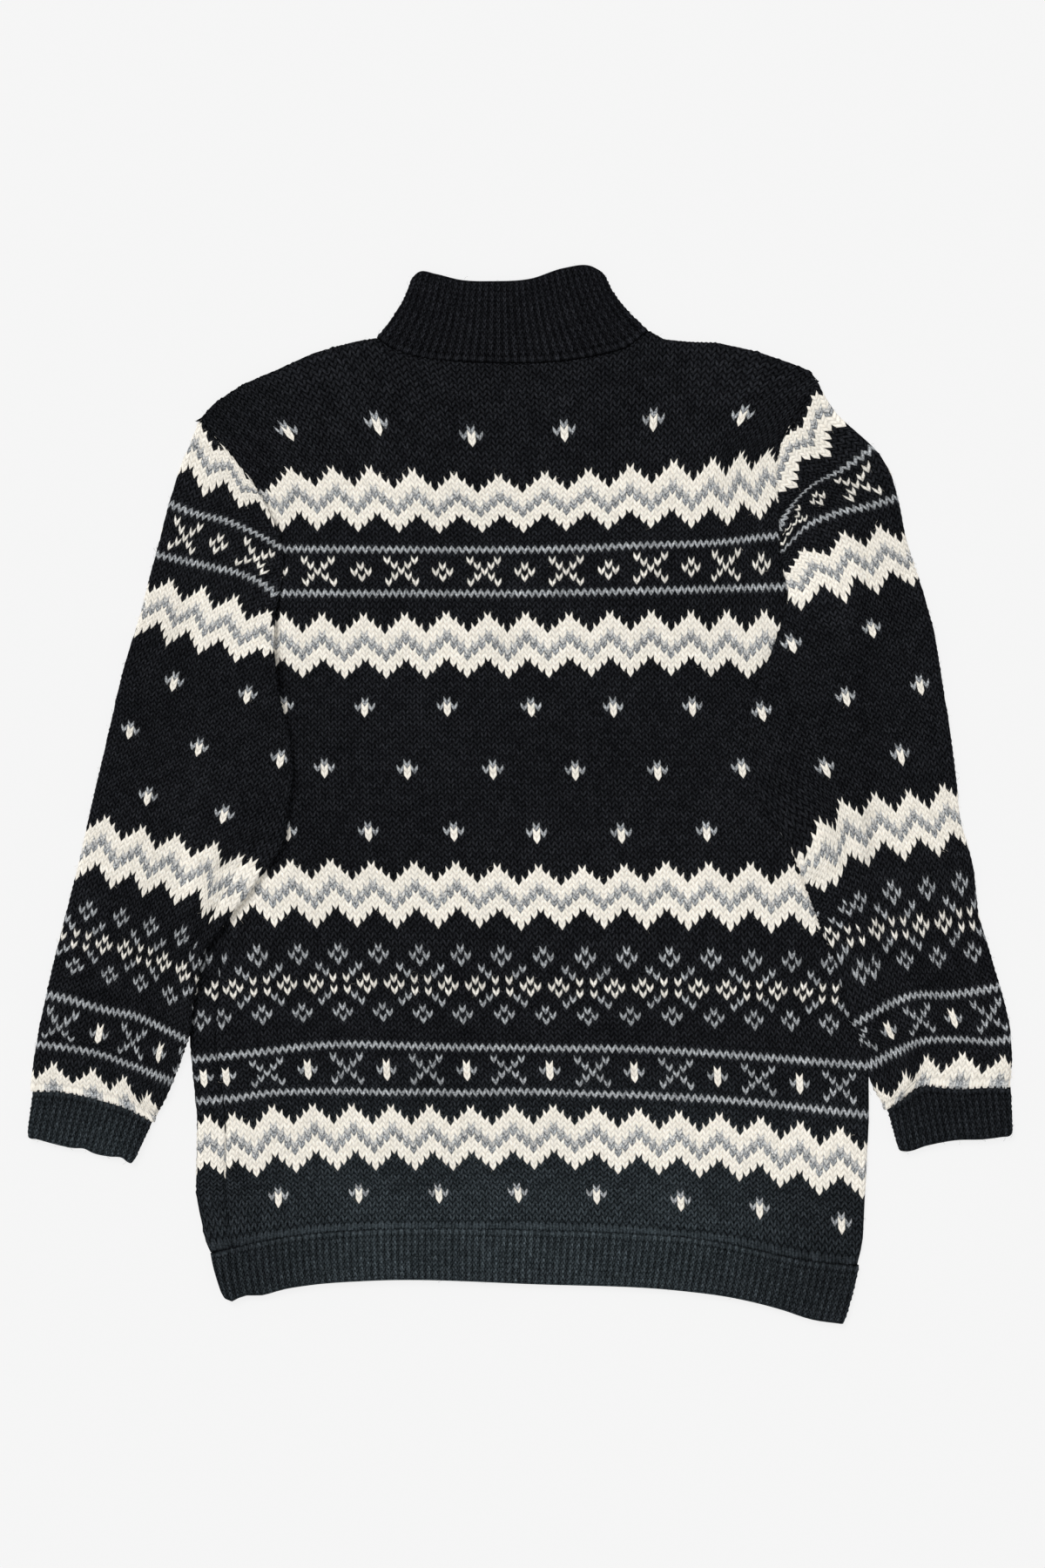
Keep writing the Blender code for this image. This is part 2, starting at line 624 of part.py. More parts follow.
def sleeve(name, table, sign, collection):
    side = body_side(sign)
    table = smooth_rows(table)
    rows = []
    for row in table:
        width = math.hypot(row.outer_x - row.inner_x, row.outer_y - row.inner_y)
        on_body = reach_on_body(row, side) if row.tube else 0.0
        stations = sleeve_stations(row, width, on_body)
        rows.append(tube_ring(row.inner_x, row.inner_y, row.outer_x, row.outer_y, stations,
                              lambda number: LEVEL_TOP))
    layer_points = (len(rows[0]) - 2 * len(FOLD_ANGLES)) // 2
    inner_fold_first = 2 * layer_points + len(FOLD_ANGLES) - 1

    def present(j, i):
        return i < inner_fold_first or (table[j].tube and table[j + 1].tube)

    return wall(name, rows, present, True, BLACK_WOOL, collection)


def cuff(name, sleeve_end, end, collection):
    width = math.dist((sleeve_end.outer_x, sleeve_end.outer_y), (sleeve_end.inner_x, sleeve_end.inner_y))
    length = math.dist((sleeve_end.outer_x, sleeve_end.outer_y), (end.outer_x, end.outer_y))
    count = 2 * round(width / CUFF_RIB_PITCH)
    gap_share = SEAM_GAP / length
    rows = []
    for share in (gap_share, 0.5, 1.0):
        inner_x = mix(sleeve_end.inner_x, end.inner_x, share)
        inner_y = mix(sleeve_end.inner_y, end.inner_y, share)
        outer_x = mix(sleeve_end.outer_x, end.outer_x, share)
        outer_y = mix(sleeve_end.outer_y, end.outer_y, share)
        row_width = math.hypot(outer_x - inner_x, outer_y - inner_y)
        stations = [(mix(FOLD_RADIUS, row_width - FOLD_RADIUS, number / count), 0.0)
                    for number in range(count + 1)]
        rows.append(tube_ring(inner_x, inner_y, outer_x, outer_y, stations, rib_height))
    return wall(name, rows, lambda j, i: True, True, CHARCOAL_WOOL, collection)


def main():
    for leftover in list(bpy.data.objects):
        bpy.data.objects.remove(leftover, do_unlink=True)
    collection = bpy.data.collections.new("fair_isle_sweater")
    bpy.context.scene.collection.children.link(collection)
    back_panel(collection)
    front_panel(collection)
    hem_rib_back(collection)
    hem_rib_front(collection)
    collar(collection)
    sleeve("sleeve_left", SLEEVE_LEFT_ROWS, -1, collection)
    sleeve("sleeve_right", SLEEVE_RIGHT_ROWS, 1, collection)
    cuff("cuff_left", SLEEVE_LEFT_ROWS[-1], CUFF_LEFT_END, collection)
    cuff("cuff_right", SLEEVE_RIGHT_ROWS[-1], CUFF_RIGHT_END, collection)


main()
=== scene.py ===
import math
import bpy
import bmesh
import numpy as np
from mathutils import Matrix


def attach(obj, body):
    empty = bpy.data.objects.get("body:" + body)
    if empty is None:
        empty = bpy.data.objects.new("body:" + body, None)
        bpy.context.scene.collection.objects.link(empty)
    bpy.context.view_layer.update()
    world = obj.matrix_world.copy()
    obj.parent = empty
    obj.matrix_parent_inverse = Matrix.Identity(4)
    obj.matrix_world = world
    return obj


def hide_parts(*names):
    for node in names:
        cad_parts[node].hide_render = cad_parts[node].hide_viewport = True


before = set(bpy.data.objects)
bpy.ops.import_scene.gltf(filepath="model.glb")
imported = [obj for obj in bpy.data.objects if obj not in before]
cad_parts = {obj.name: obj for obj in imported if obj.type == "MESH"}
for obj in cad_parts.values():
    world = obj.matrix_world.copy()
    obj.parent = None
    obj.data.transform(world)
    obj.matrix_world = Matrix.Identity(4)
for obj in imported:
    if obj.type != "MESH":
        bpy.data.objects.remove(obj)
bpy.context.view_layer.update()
print("frame loaded:", ", ".join(sorted(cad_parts)))

# Places and lengths on the garment are in mm. The view, light, yarn and fuzz are in metres.
mm = 0.001
lowest = 0.02      # nothing dips to the floor itself


def colour(hexCode):
    parts = [int(hexCode[i:i + 2], 16) / 255 for i in (1, 3, 5)]
    return tuple(p / 12.92 if p <= 0.04045 else ((p + 0.055) / 1.055) ** 2.4 for p in parts) + (1.0,)


def add(tree, kind, settings=None, inputs=None):
    # inputs are listed in order, or given by name or number
    node = tree.nodes.new(kind)
    for name, value in (settings or {}).items():
        setattr(node, name, value)
    if isinstance(inputs, list):
        inputs = dict(enumerate(inputs))
    for key, value in (inputs or {}).items():
        if isinstance(value, bpy.types.Node):
            value = value.outputs[0]
        if isinstance(value, bpy.types.NodeSocket):
            tree.links.new(value, node.inputs[key])
        else:
            node.inputs[key].default_value = value
    return node


multiply, multiplyAdd = {"operation": "MULTIPLY"}, {"operation": "MULTIPLY_ADD"}


def ripple(tree, value, rate):
    # how far value is, from 0 to 1, between the places where its sine at this rate is 0
    turned = add(tree, "ShaderNodeMath", multiply, [value, rate])
    wave = add(tree, "ShaderNodeMath", {"operation": "SINE"}, [turned])
    return add(tree, "ShaderNodeMath", {"operation": "ABSOLUTE"}, [wave])


def newMaterial(name):
    material = bpy.data.materials.new(name)
    material.use_nodes = True
    material.node_tree.nodes.clear()
    return material, material.node_tree


def smoothstep(t):
    t = np.clip(t, 0.0, 1.0)
    return t * t * (3 - 2 * t)


def slopes(knots, values):
    # one slope a knot, the mean of its neighbours' weighted by their spans; ends keep their own
    steps = np.diff(knots).reshape((-1,) + (1,) * (values.ndim - 1))
    rises = np.diff(values, axis=0) / steps
    middle = (rises[:-1] * steps[1:] + rises[1:] * steps[:-1]) / (steps[1:] + steps[:-1])
    return np.concatenate([rises[:1], middle, rises[-1:]], axis=0)


def through(knots, values, at):
    # a smooth curve through the knots, carried on straight past both ends
    knots = np.asarray(knots, float)
    values = np.asarray(values, float)
    at = np.atleast_1d(np.asarray(at, float))
    m = slopes(knots, values)
    i = np.clip(np.searchsorted(knots, at) - 1, 0, len(knots) - 2)
    h = knots[i + 1] - knots[i]
    t = np.clip((at - knots[i]) / h, 0, 1)
    past = at - knots[i] - t * h
    if values.ndim > 1:
        shape = (-1,) + (1,) * (values.ndim - 1)
        h, t, past = h.reshape(shape), t.reshape(shape), past.reshape(shape)
    a, b, ma, mb = values[i], values[i + 1], m[i] * h, m[i + 1] * h
    curve = (2 * t ** 3 - 3 * t ** 2 + 1) * a + (t ** 3 - 2 * t ** 2 + t) * ma
    curve = curve + (3 * t ** 2 - 2 * t ** 3) * b + (t ** 3 - t ** 2) * mb
    return curve + past * np.where(t > 0.5, m[i + 1], m[i])


def alongLine(points, count):
    points = np.asarray(points, float)
    run = np.concatenate([[0], np.cumsum(np.hypot(*np.diff(points, axis=0).T))])
    return through(run / run[-1], points, np.linspace(0, 1, count))


view = {"height": 3.06, "aim": (0.0018, 0.009), "lens": 85.0, "film": 36.0}

camera = bpy.data.objects.new("camera", bpy.data.cameras.new("camera"))
bpy.context.scene.collection.objects.link(camera)
camera.data.sensor_fit = "VERTICAL"
camera.data.sensor_height = view["film"]
camera.data.lens = view["lens"]
camera.location = (view["aim"][0], view["aim"][1], view["height"])
bpy.context.scene.camera = camera
bpy.context.scene.view_settings.view_transform = "Standard"
bpy.context.scene.view_settings.look = "None"

studio = {"sky": 0.655, "floorPaint": "#505050", "floorGlow": 0.832, "floorHalf": 4, "floorDrop": 0.0003,
          "sun": 1.73, "sunAngle": 25.0, "tilt": (34, -24)}

world = bpy.data.worlds.new("softStudio")
bpy.context.scene.world = world
world.use_nodes = True
world.node_tree.nodes["Background"].inputs["Color"].default_value = (1, 1, 1, 1)
world.node_tree.nodes["Background"].inputs["Strength"].default_value = studio["sky"]

lamp = bpy.data.objects.new("softLamp", bpy.data.lights.new("softLamp", "SUN"))
lamp.data.angle = math.radians(studio["sunAngle"])
lamp.data.energy = studio["sun"]
lamp.location = (-1.1, 1.5, 2.2)
lamp.rotation_euler = (math.radians(-studio["tilt"][0]), math.radians(studio["tilt"][1]), 0)
bpy.context.scene.collection.objects.link(lamp)

floorMesh = bpy.data.meshes.new("floor")
corners = [(x * studio["floorHalf"], y * studio["floorHalf"], -studio["floorDrop"])
           for x, y in ((-1, -1), (1, -1), (1, 1), (-1, 1))]
floorMesh.from_pydata(corners, [], [(0, 1, 2, 3)])
floor = bpy.data.objects.new("floor", floorMesh)
bpy.context.scene.collection.objects.link(floor)
paper = bpy.data.materials.new("paleStudioPaper")
paper.use_nodes = True
sheetShader = paper.node_tree.nodes["Principled BSDF"]
sheetShader.inputs["Base Color"].default_value = colour(studio["floorPaint"])
sheetShader.inputs["Roughness"].default_value = 1.0
sheetShader.inputs["Specular IOR Level"].default_value = 0.0
sheetShader.inputs["Emission Color"].default_value = (1, 1, 1, 1)
sheetShader.inputs["Emission Strength"].default_value = studio["floorGlow"]
floor.data.materials.append(paper)
print("camera, floor and light set")


woolLook = {
    "fibreScale": 1500.0,      # fibres are 0.03 mm and too fine to show, so clumps of 0.7 mm are drawn
    "fleckScale": 620.0,       # heather flecks, about 1.6 mm long
    "patchScale": 9.0,         # patches of wear and felting, about 110 mm
    "dyeChange": (0.02, 0.22),     # how much the stitches' shades differ in light yarn, and more in dark
    "across": (0.58, 0.42),        # painted light: what a leg's middle adds to the painted shade of the gap beside it
    "along": (0.88, 0.12),         # and what a row's middle adds to that of its ends
    "paintedStitchShade": (0.05, 0.8),         # where that painted shade is as dark and as light as it gets
    "paintedFurrowShade": (1.12, 0.36),        # painted light on a rib's knit wales and painted shade in its furrows
    "turns": (4.0, 3.0),           # turns of the two plies across and along a stitch
    "plyRise": 0.12, "stitchRise": 0.9, "bumpDistance": 0.0009,
    "hemSides": (0.10, 0.28, 1.0, 0.35),       # where the hem's paler tint weakens from the middle, in m
    "leftCuff": (-0.28, -0.34, 0.0, 1.1),      # and where it comes back
}


def wool(name, low, high, fleckSpread, patchSpread, paintedGapLevel, paintedLegLevel, gloss, sheen, fibreBump, hem=None):
    # Worsted lambswool, carded, spun, knitted and brushed: matt, with a soft halo at grazing
    # angles, flecks where dyed and undyed fibres were blended, painted shade between the stitches and painted
    # light on their legs.
    material, tree = newMaterial(name)
    place = add(tree, "ShaderNodeTexCoord").outputs["Object"]
    stitch = add(tree, "ShaderNodeAttribute", {"attribute_name": "stitchAt"}).outputs["Vector"]
    wale, course, ribbing = add(tree, "ShaderNodeSeparateXYZ", None, [stitch]).outputs
    flecks = add(tree, "ShaderNodeTexNoise", None,
                 {"Vector": place, "Scale": woolLook["fleckScale"], "Detail": 3.0, "Roughness": 0.7})
    patches = add(tree, "ShaderNodeTexNoise", None,
                  {"Vector": place, "Scale": woolLook["patchScale"], "Detail": 3.0, "Roughness": 0.6})
    fleck = add(tree, "ShaderNodeMapRange", None, [flecks, 0.5 - fleckSpread, 0.5 + fleckSpread, 0.0, 1.0])
    shade = add(tree, "ShaderNodeMix", {"data_type": "RGBA"}, {0: fleck, 6: colour(low), 7: colour(high)})
    shade = shade.outputs[2]
    if hem:
        # the black is paler and greener towards the hem
        x, y = add(tree, "ShaderNodeSeparateXYZ", None, [place]).outputs[:2]
        smooth = {"interpolation_type": "SMOOTHSTEP"}
        fade = add(tree, "ShaderNodeMapRange", smooth, [y, hem["from"], hem["to"], 0.0, 1.0])
        # and less so towards the sides
        aside = add(tree, "ShaderNodeMath", {"operation": "ABSOLUTE"}, [x])
        sideShare = add(tree, "ShaderNodeMapRange", smooth, [aside, *woolLook["hemSides"]])
        # but not at the left cuff
        outer = add(tree, "ShaderNodeMapRange", smooth, [x, *woolLook["leftCuff"]])
        sideShare = add(tree, "ShaderNodeMath", {"operation": "MAXIMUM"}, [sideShare, outer])
        fade = add(tree, "ShaderNodeMath", multiply, [fade, sideShare])
        tinted = add(tree, "ShaderNodeMix", {"data_type": "RGBA"},
                     {0: fleck, 6: colour(hem["low"]), 7: colour(hem["high"])})
        shade = add(tree, "ShaderNodeMix", {"data_type": "RGBA"},
                    {0: fade, 6: shade, 7: tinted.outputs[2]}).outputs[2]
    # each stitch takes the dye a little differently
    column = add(tree, "ShaderNodeMath", {"operation": "ROUND"}, [wale])
    row = add(tree, "ShaderNodeMath", {"operation": "FLOOR"}, [course])
    cell = add(tree, "ShaderNodeCombineXYZ", None, [column, row])
    dye = add(tree, "ShaderNodeTexWhiteNoise", {"noise_dimensions": "3D"}, [cell]).outputs["Value"]
    patch = add(tree, "ShaderNodeMapRange", None, [patches, 0.3, 0.7, 1 - patchSpread, 1 + patchSpread])
    change = woolLook["dyeChange"][0] + woolLook["dyeChange"][1] * (1 - paintedGapLevel) ** 2
    dyed = add(tree, "ShaderNodeMapRange", None, [dye, 0.0, 1.0, 1 - change, 1 + change])
    # painted shade and light: the colour is darkened in the gaps beside a stitch's legs and at its row's
    # ends, and lightened on the legs, for the shade the coarse relief doesn't cast
    across = add(tree, "ShaderNodeMath", multiplyAdd, [ripple(tree, wale, 2 * math.pi), *woolLook["across"]])
    along = add(tree, "ShaderNodeMath", multiplyAdd, [ripple(tree, course, math.pi), *woolLook["along"]])
    body = add(tree, "ShaderNodeMath", multiply, [across, along])
    paintedStitchShade = add(tree, "ShaderNodeMapRange", None, [body, *woolLook["paintedStitchShade"], paintedGapLevel, paintedLegLevel])
    level = add(tree, "ShaderNodeMath", multiply, [patch, dyed])
    level = add(tree, "ShaderNodeMath", multiply, [level, paintedStitchShade])
    # a rib's purl wales lie in its furrows: painted shade darkens them there, and painted light brightens the
    # knit wales
    paintedFurrowShade = add(tree, "ShaderNodeMapRange", None, [ribbing, 0.0, 1.0, *woolLook["paintedFurrowShade"]])
    level = add(tree, "ShaderNodeMath", multiply, [level, paintedFurrowShade])
    shade = add(tree, "ShaderNodeVectorMath", {"operation": "SCALE"}, {0: shade, 3: level})
    fibres = add(tree, "ShaderNodeTexNoise", None,
                 {"Vector": place, "Scale": woolLook["fibreScale"], "Detail": 4.0, "Roughness": 0.75})
    # two plies are twisted round each other
    twist = add(tree, "ShaderNodeMath", multiply, [wale, woolLook["turns"][0]])
    twist = add(tree, "ShaderNodeMath", multiplyAdd, [course, woolLook["turns"][1], twist])
    twist = add(tree, "ShaderNodeMath", multiply, [twist, 2 * math.pi])
    twist = add(tree, "ShaderNodeMath", {"operation": "SINE"}, [twist])
    rise = add(tree, "ShaderNodeMath", multiplyAdd, [twist, woolLook["plyRise"], fibres])
    rise = add(tree, "ShaderNodeMath", multiplyAdd, [body, woolLook["stitchRise"], rise])
    bump = add(tree, "ShaderNodeBump", None,
               {"Strength": fibreBump, "Distance": woolLook["bumpDistance"], "Height": rise})
    surface = add(tree, "ShaderNodeBsdfPrincipled", None, {
        "Base Color": shade, "Roughness": 0.95, "Specular IOR Level": gloss,
        "Sheen Weight": sheen, "Sheen Roughness": 0.55, "Sheen Tint": colour("#d8dadc"), "Normal": bump})
    add(tree, "ShaderNodeOutputMaterial", None, [surface])
    return material


blackWool = wool("blackLambswool", "#050607", "#1d1e21", 0.17, 0.12, 0.0, 2.3, 0.01, 0.0, 0.8,
                 hem={"from": -0.20, "to": -0.40, "low": "#0f1315", "high": "#373e42"})
creamWool = wool("creamLambswool", "#e6dfd2", "#fffbf2", 0.20, 0.03, 0.66, 1.04, 0.05, 0.03, 0.55)
greyWool = wool("greyHeatherWool", "#8b8e90", "#eceae6", 0.13, 0.05, 0.58, 1.08, 0.05, 0.03, 0.7)
# copies of the grey and cream yarn for single stitches between black ones: darker as painted shade, with
# deeper painted shade in the gaps and more painted light on the legs
paintedShadeGreyWool = wool("greyHeatherWoolPaintedShade", "#4b4f54", "#bcbfc1", 0.14, 0.08, 0.25, 1.30, 0.03, 0.02, 0.7)
paintedShadeCreamWool = wool("creamLambswoolPaintedShade", "#b0aca3", "#f6f2ea", 0.18, 0.05, 0.36, 1.22, 0.03, 0.02, 0.6)
ribWool = wool("blackRibWool", "#060708", "#25262a", 0.17, 0.12, 0.0, 2.2, 0.01, 0.0, 0.8,
               hem={"from": -0.15, "to": -0.39, "low": "#14191c", "high": "#444c50"})


def fibre(name, hexCode):
    # a single wool fibre brushed out of the yarn, dull and without a shine of its own
    material, tree = newMaterial(name)
    place = add(tree, "ShaderNodeTexCoord").outputs["Object"]
    # fibres near each other differ in shade, over about 4 mm
    patches = add(tree, "ShaderNodeTexNoise", None, {"Vector": place, "Scale": 260.0, "Detail": 2.0})
    shade = add(tree, "ShaderNodeMapRange", None, [patches, 0.3, 0.7, 0.6, 1.4])
    tinted = add(tree, "ShaderNodeVectorMath", {"operation": "SCALE"}, {0: colour(hexCode)[:3], 3: shade})
    surface = add(tree, "ShaderNodeBsdfPrincipled", None, {
        "Base Color": tinted, "Roughness": 0.9, "Specular IOR Level": 0.0})
    add(tree, "ShaderNodeOutputMaterial", None, [surface])
    return material


blackFibre = fibre("blackWoolFibre", "#26292d")
creamFibre = fibre("creamWoolFibre", "#efe8da")
greyFibre = fibre("greyWoolFibre", "#909497")
print("wool mixed")


# Rows count up from the rib and wales from the motifs' axis at the middle of a piece.
# 0 is the black ground, 1 cream, 2 grey. 3 is grey and 4 cream where single stitches sink between black ones,
# drawn with painted shade.


def zigzag(fromPeak, down):
    # three cream, two grey, three cream stitches, stepping one row for each stitch from a peak
    k = down - fromPeak
    return 0 if k < 0 or k > 7 else {3: 2, 4: 3}.get(k, 1)


snowflake = {  # rows below the middle row: (grey stitches, cream stitches) of a repeat of 12
    -5: ((2, 8), ()), -4: ((1, 3, 7, 9), ()), -3: ((2, 8), ()), -2: ((5, 11), ()), -1: ((6, 10), ()),
    0: ((), (0, 4, 7, 9)), 1: ((), (11, 1, 3, 5)), 2: ((), (0, 4, 7, 9)), 3: ((6, 10), ()),
    4: ((5, 11), ()), 5: ((2, 8), ()), 6: ((1, 3, 7, 9), ()), 7: ((2, 8), ())}

dotRows = {5: 6, 68: 0, 79: 6, 90: 0, 139: 6}    # middle row of a spot: its wale in 12
zigzagTops = {20: 0, 62: 0, 106: 0, 132: 3}      # top row of a zigzag: its peak's wale in 6
crossRows = {27: 2, 114: 1}                      # middle row of a band of crosses: their yarn
lineRows = (23, 31, 110, 118)                    # single grey rows
flowerRow = 43                                   # middle row of the flowers


def yarnAt(c, row):
    fromPeak = min(c % 6, -c % 6)
    for top, phase in zigzagTops.items():
        if top - 10 <= row <= top:
            return zigzag(abs(fromPeak - phase), top - row)
    if row in lineRows:
        return 3
    x = (c + 6) % 12 - 6          # -6..5, spot or diamond in the middle
    fromCross = abs((c % 12) - 6)
    for middle, crossYarn in crossRows.items():
        if abs(row - middle) <= 2:
            if fromCross == abs(row - middle):
                return 3 if crossYarn == 2 else 4
            if crossYarn == 1:
                return 4 if abs(x) + abs(row - middle) == 1 else 0
            if x == 0:
                return 1 if abs(row - middle) <= 1 else 0
            return 3 if abs(x) == 1 and row == middle else 0
    if flowerRow - row in snowflake:
        grey, cream = snowflake[flowerRow - row]
        s = (c + 2) % 12
        return 4 if s in cream else (3 if s in grey else 0)
    for middle, wale in dotRows.items():
        x = (c - wale + 6) % 12 - 6
        if abs(row - middle) <= 1:
            if x == 0:
                return 3 if row > middle else 1
            return 3 if abs(x) == 1 and row == middle else 0
    return 0


def even(first, step, places):
    # places of which the first is at wale first and the others follow every step wales
    return [(first + step * i, x, y) for i, (x, y) in enumerate(places)]


# where rows lie, in mm: the row's number, then wale, x and y of places along it
bodyKnit = {
    5.5: even(-30, 12, [(-199.6, -332.9), (-133.1, -329.9), (-67.1, -330), (-1.7, -329.3), (62.9, -330.7),
        (132.5, -336.4), (197.4, -342.1), (265.1, -354.7)]),
    10: even(-33, 6, [(-217.5, -315.6), (-184.7, -312), (-150.6, -310.2), (-119, -310.2), (-86.2, -310.2),
        (-55.1, -310.2), (-22, -309.9), (11.8, -309.4), (45.3, -309.9), (80.6, -313.1), (114.3, -313.8),
        (148, -316.3), (180.7, -319.2), (214.3, -324.4), (246.7, -330.7), (282.3, -333.5)]),
    21.24: even(-36, 6, [(-237.8, -264.2), (-205, -257.7), (-171.5, -256.5), (-139.3, -256.5),
        (-106.9, -257.2), (-74.9, -257.3), (-41.1, -258), (-6.4, -257.3), (26.9, -257.3), (62.2, -258.7),
        (97.5, -260.2), (130.8, -262.4), (164.1, -264.1), (198.3, -267), (231, -271), (264, -275.5)]),
    27.5: even(-36, 6, [(-242.6, -233.8), (-208.6, -230.8), (-175.1, -228.5), (-142.9, -227.9),
        (-110.2, -229), (-77.4, -228.6), (-44.1, -229.3), (-9.8, -227.9), (24.4, -229.3), (60, -230.8),
        (94.1, -230.8), (129, -231.9), (162.9, -234.2), (196.8, -237.1), (230.6, -240), (263.4, -242.9)]),
    31.5: [(-36, -244.4, -217.8), (-30, -210.2, -213.8), (-24, -176.8, -209.4), (-18, -144, -207.7),
        (-12, -111.2, -208.4), (-6, -78.5, -209.5), (0, -45, -210.2), (12, 23.4, -211), (24, 93.2, -211.7),
        (36, 162, -215.6), (48, 229.3, -221), (54, 262.1, -223.9)],
    37.5: even(-36, 6, [(-246.6, -186.8), (-212.8, -183.2), (-179.6, -181.6), (-146.2, -180.9),
        (-113.3, -180.9), (-80.2, -182.3), (-47.4, -183), (-12.9, -183), (21.2, -183.8), (55.9, -184.5),
        (91, -184.5), (125.5, -184.5), (160.1, -186), (193.2, -187.5), (222.9, -188.2), (255.2, -191.2)]),
    47.5: even(-36, 6, [(-250.2, -137.9), (-216.4, -135.4), (-183, -133.8), (-150.3, -133.1),
        (-116.9, -133.1), (-83, -134.6), (-48.9, -134.6), (-15.8, -135.3), (19.2, -136), (53.9, -136.7),
        (88.2, -136.7), (123.5, -136.7), (157.5, -137.5), (191.4, -139), (224, -139.7), (256, -141.5)]),
    52: even(-27, 6, [(-202.5, -109.6), (-167.9, -110.3), (-134.4, -109.6), (-101.8, -110.7),
        (-67.5, -110.7), (-33.5, -110.3), (0.8, -112.5), (34.8, -111.8), (69.4, -111), (104.2, -111.8),
        (138.9, -112.5), (173.4, -113.3), (207.1, -114.7), (240.8, -116.6)]),
    63.24: even(-24, 6, [(-189.9, -55.2), (-156.9, -54.5), (-123.1, -56.7), (-87.8, -56.7), (-53.3, -56.7),
        (-19.1, -58.9), (15, -59.4), (51, -60.3), (85.5, -58.9), (120.1, -56.7), (155.4, -57.4),
        (189.9, -57.4), (223.7, -59.6)]),
    68.5: even(-24, 12, [(-192.2, -31.7), (-125.3, -31.7), (-54.8, -31.7), (13.5, -33.2), (83.4, -33.2),
        (153.9, -31.7), (222.8, -32.8)]),
    79.5: [(-24, -195.5, 20.9), (-18, -161.7, 20.6), (-6, -93.2, 19.2), (6, -22.5, 19.2), (18, 45.4, 18.4),
        (30, 113.5, 18.4), (42, 183.2, 20.6), (48, 217.8, 21.2)],
    90.5: even(-24, 12, [(-195.1, 72.1), (-128.5, 70.6), (-60.3, 71.3), (9, 70.9), (76.8, 70.6),
        (142.1, 71.3), (208.4, 72.4)]),
    96: even(-21, 6, [(-179.6, 96.3), (-144.9, 95.5), (-110.6, 95.5), (-77.8, 95.5), (-43.8, 96.3),
        (-9.6, 95.5), (23.8, 96.3), (58.8, 97), (91, 97), (124.5, 97.8), (157.5, 97), (188, 95.5)]),
    107.24: even(-24, 6, [(-195.5, 148.7), (-163.8, 148.3), (-129.5, 148), (-95.5, 148.3), (-61.2, 149.4),
        (-27, 148.7), (4.3, 149), (40.2, 148.3), (73.8, 149.8), (108, 150.5), (140.7, 150.1),
        (170.3, 150.5), (201.2, 150.5)]),
    110.5: [(-24, -196.2, 164.5), (-12, -130.3, 164.3), (0, -63, 164.3), (12, 4, 164.2), (24, 73.1, 165.6),
        (36, 140.8, 167.4), (42, 169.9, 168.3), (48, 199.8, 169.2)],
    114.5: even(-24, 6, [(-199.8, 182.5), (-167.2, 182.7), (-130.8, 181.9), (-98.1, 183.4), (-64, 181.9),
        (-29.4, 182.7), (3.6, 181.9), (37.8, 182.7), (72.8, 183.4), (107.6, 185.6), (141.1, 185.6),
        (169.3, 186.3), (199, 187.8)]),
    118.5: [(-24, -199.1, 201.2), (-18, -167.4, 200.9), (-6, -99, 200.5), (6, -30.6, 200.3),
        (18, 37.8, 201), (30, 107.6, 204.3), (36, 141.1, 205.2), (42, 170.3, 207), (48, 198.4, 210.6)],
    122: even(-24, 6, [(-196.6, 216.7), (-167.5, 217.4), (-133.7, 216.7), (-99.9, 216), (-66.5, 215.3),
        (-31.3, 216), (2.7, 215.9), (37.8, 217.4), (72.4, 218.2), (107.6, 219.6), (141.1, 219.6),
        (171.1, 221.8), (197.9, 226.4)]),
    133.24: even(-21, 6, [(-190.7, 268.6), (-156.2, 269.4), (-124.9, 269.4), (-89.3, 267.5),
        (-54.8, 264.2), (-18.1, 262.7), (20.2, 265), (56.2, 267.2), (90.7, 270.9), (126.7, 274.5),
        (159, 276.7), (182.5, 281.9), (205.3, 284)]),
    139.5: even(-30, 12, [(-260.3, 297), (-191.4, 298.7), (-117.9, 304.6), (-40.1, 294.3), (36.4, 298.7),
        (109.8, 307.6), (182.5, 311.3), (253.8, 315.7)]),
}
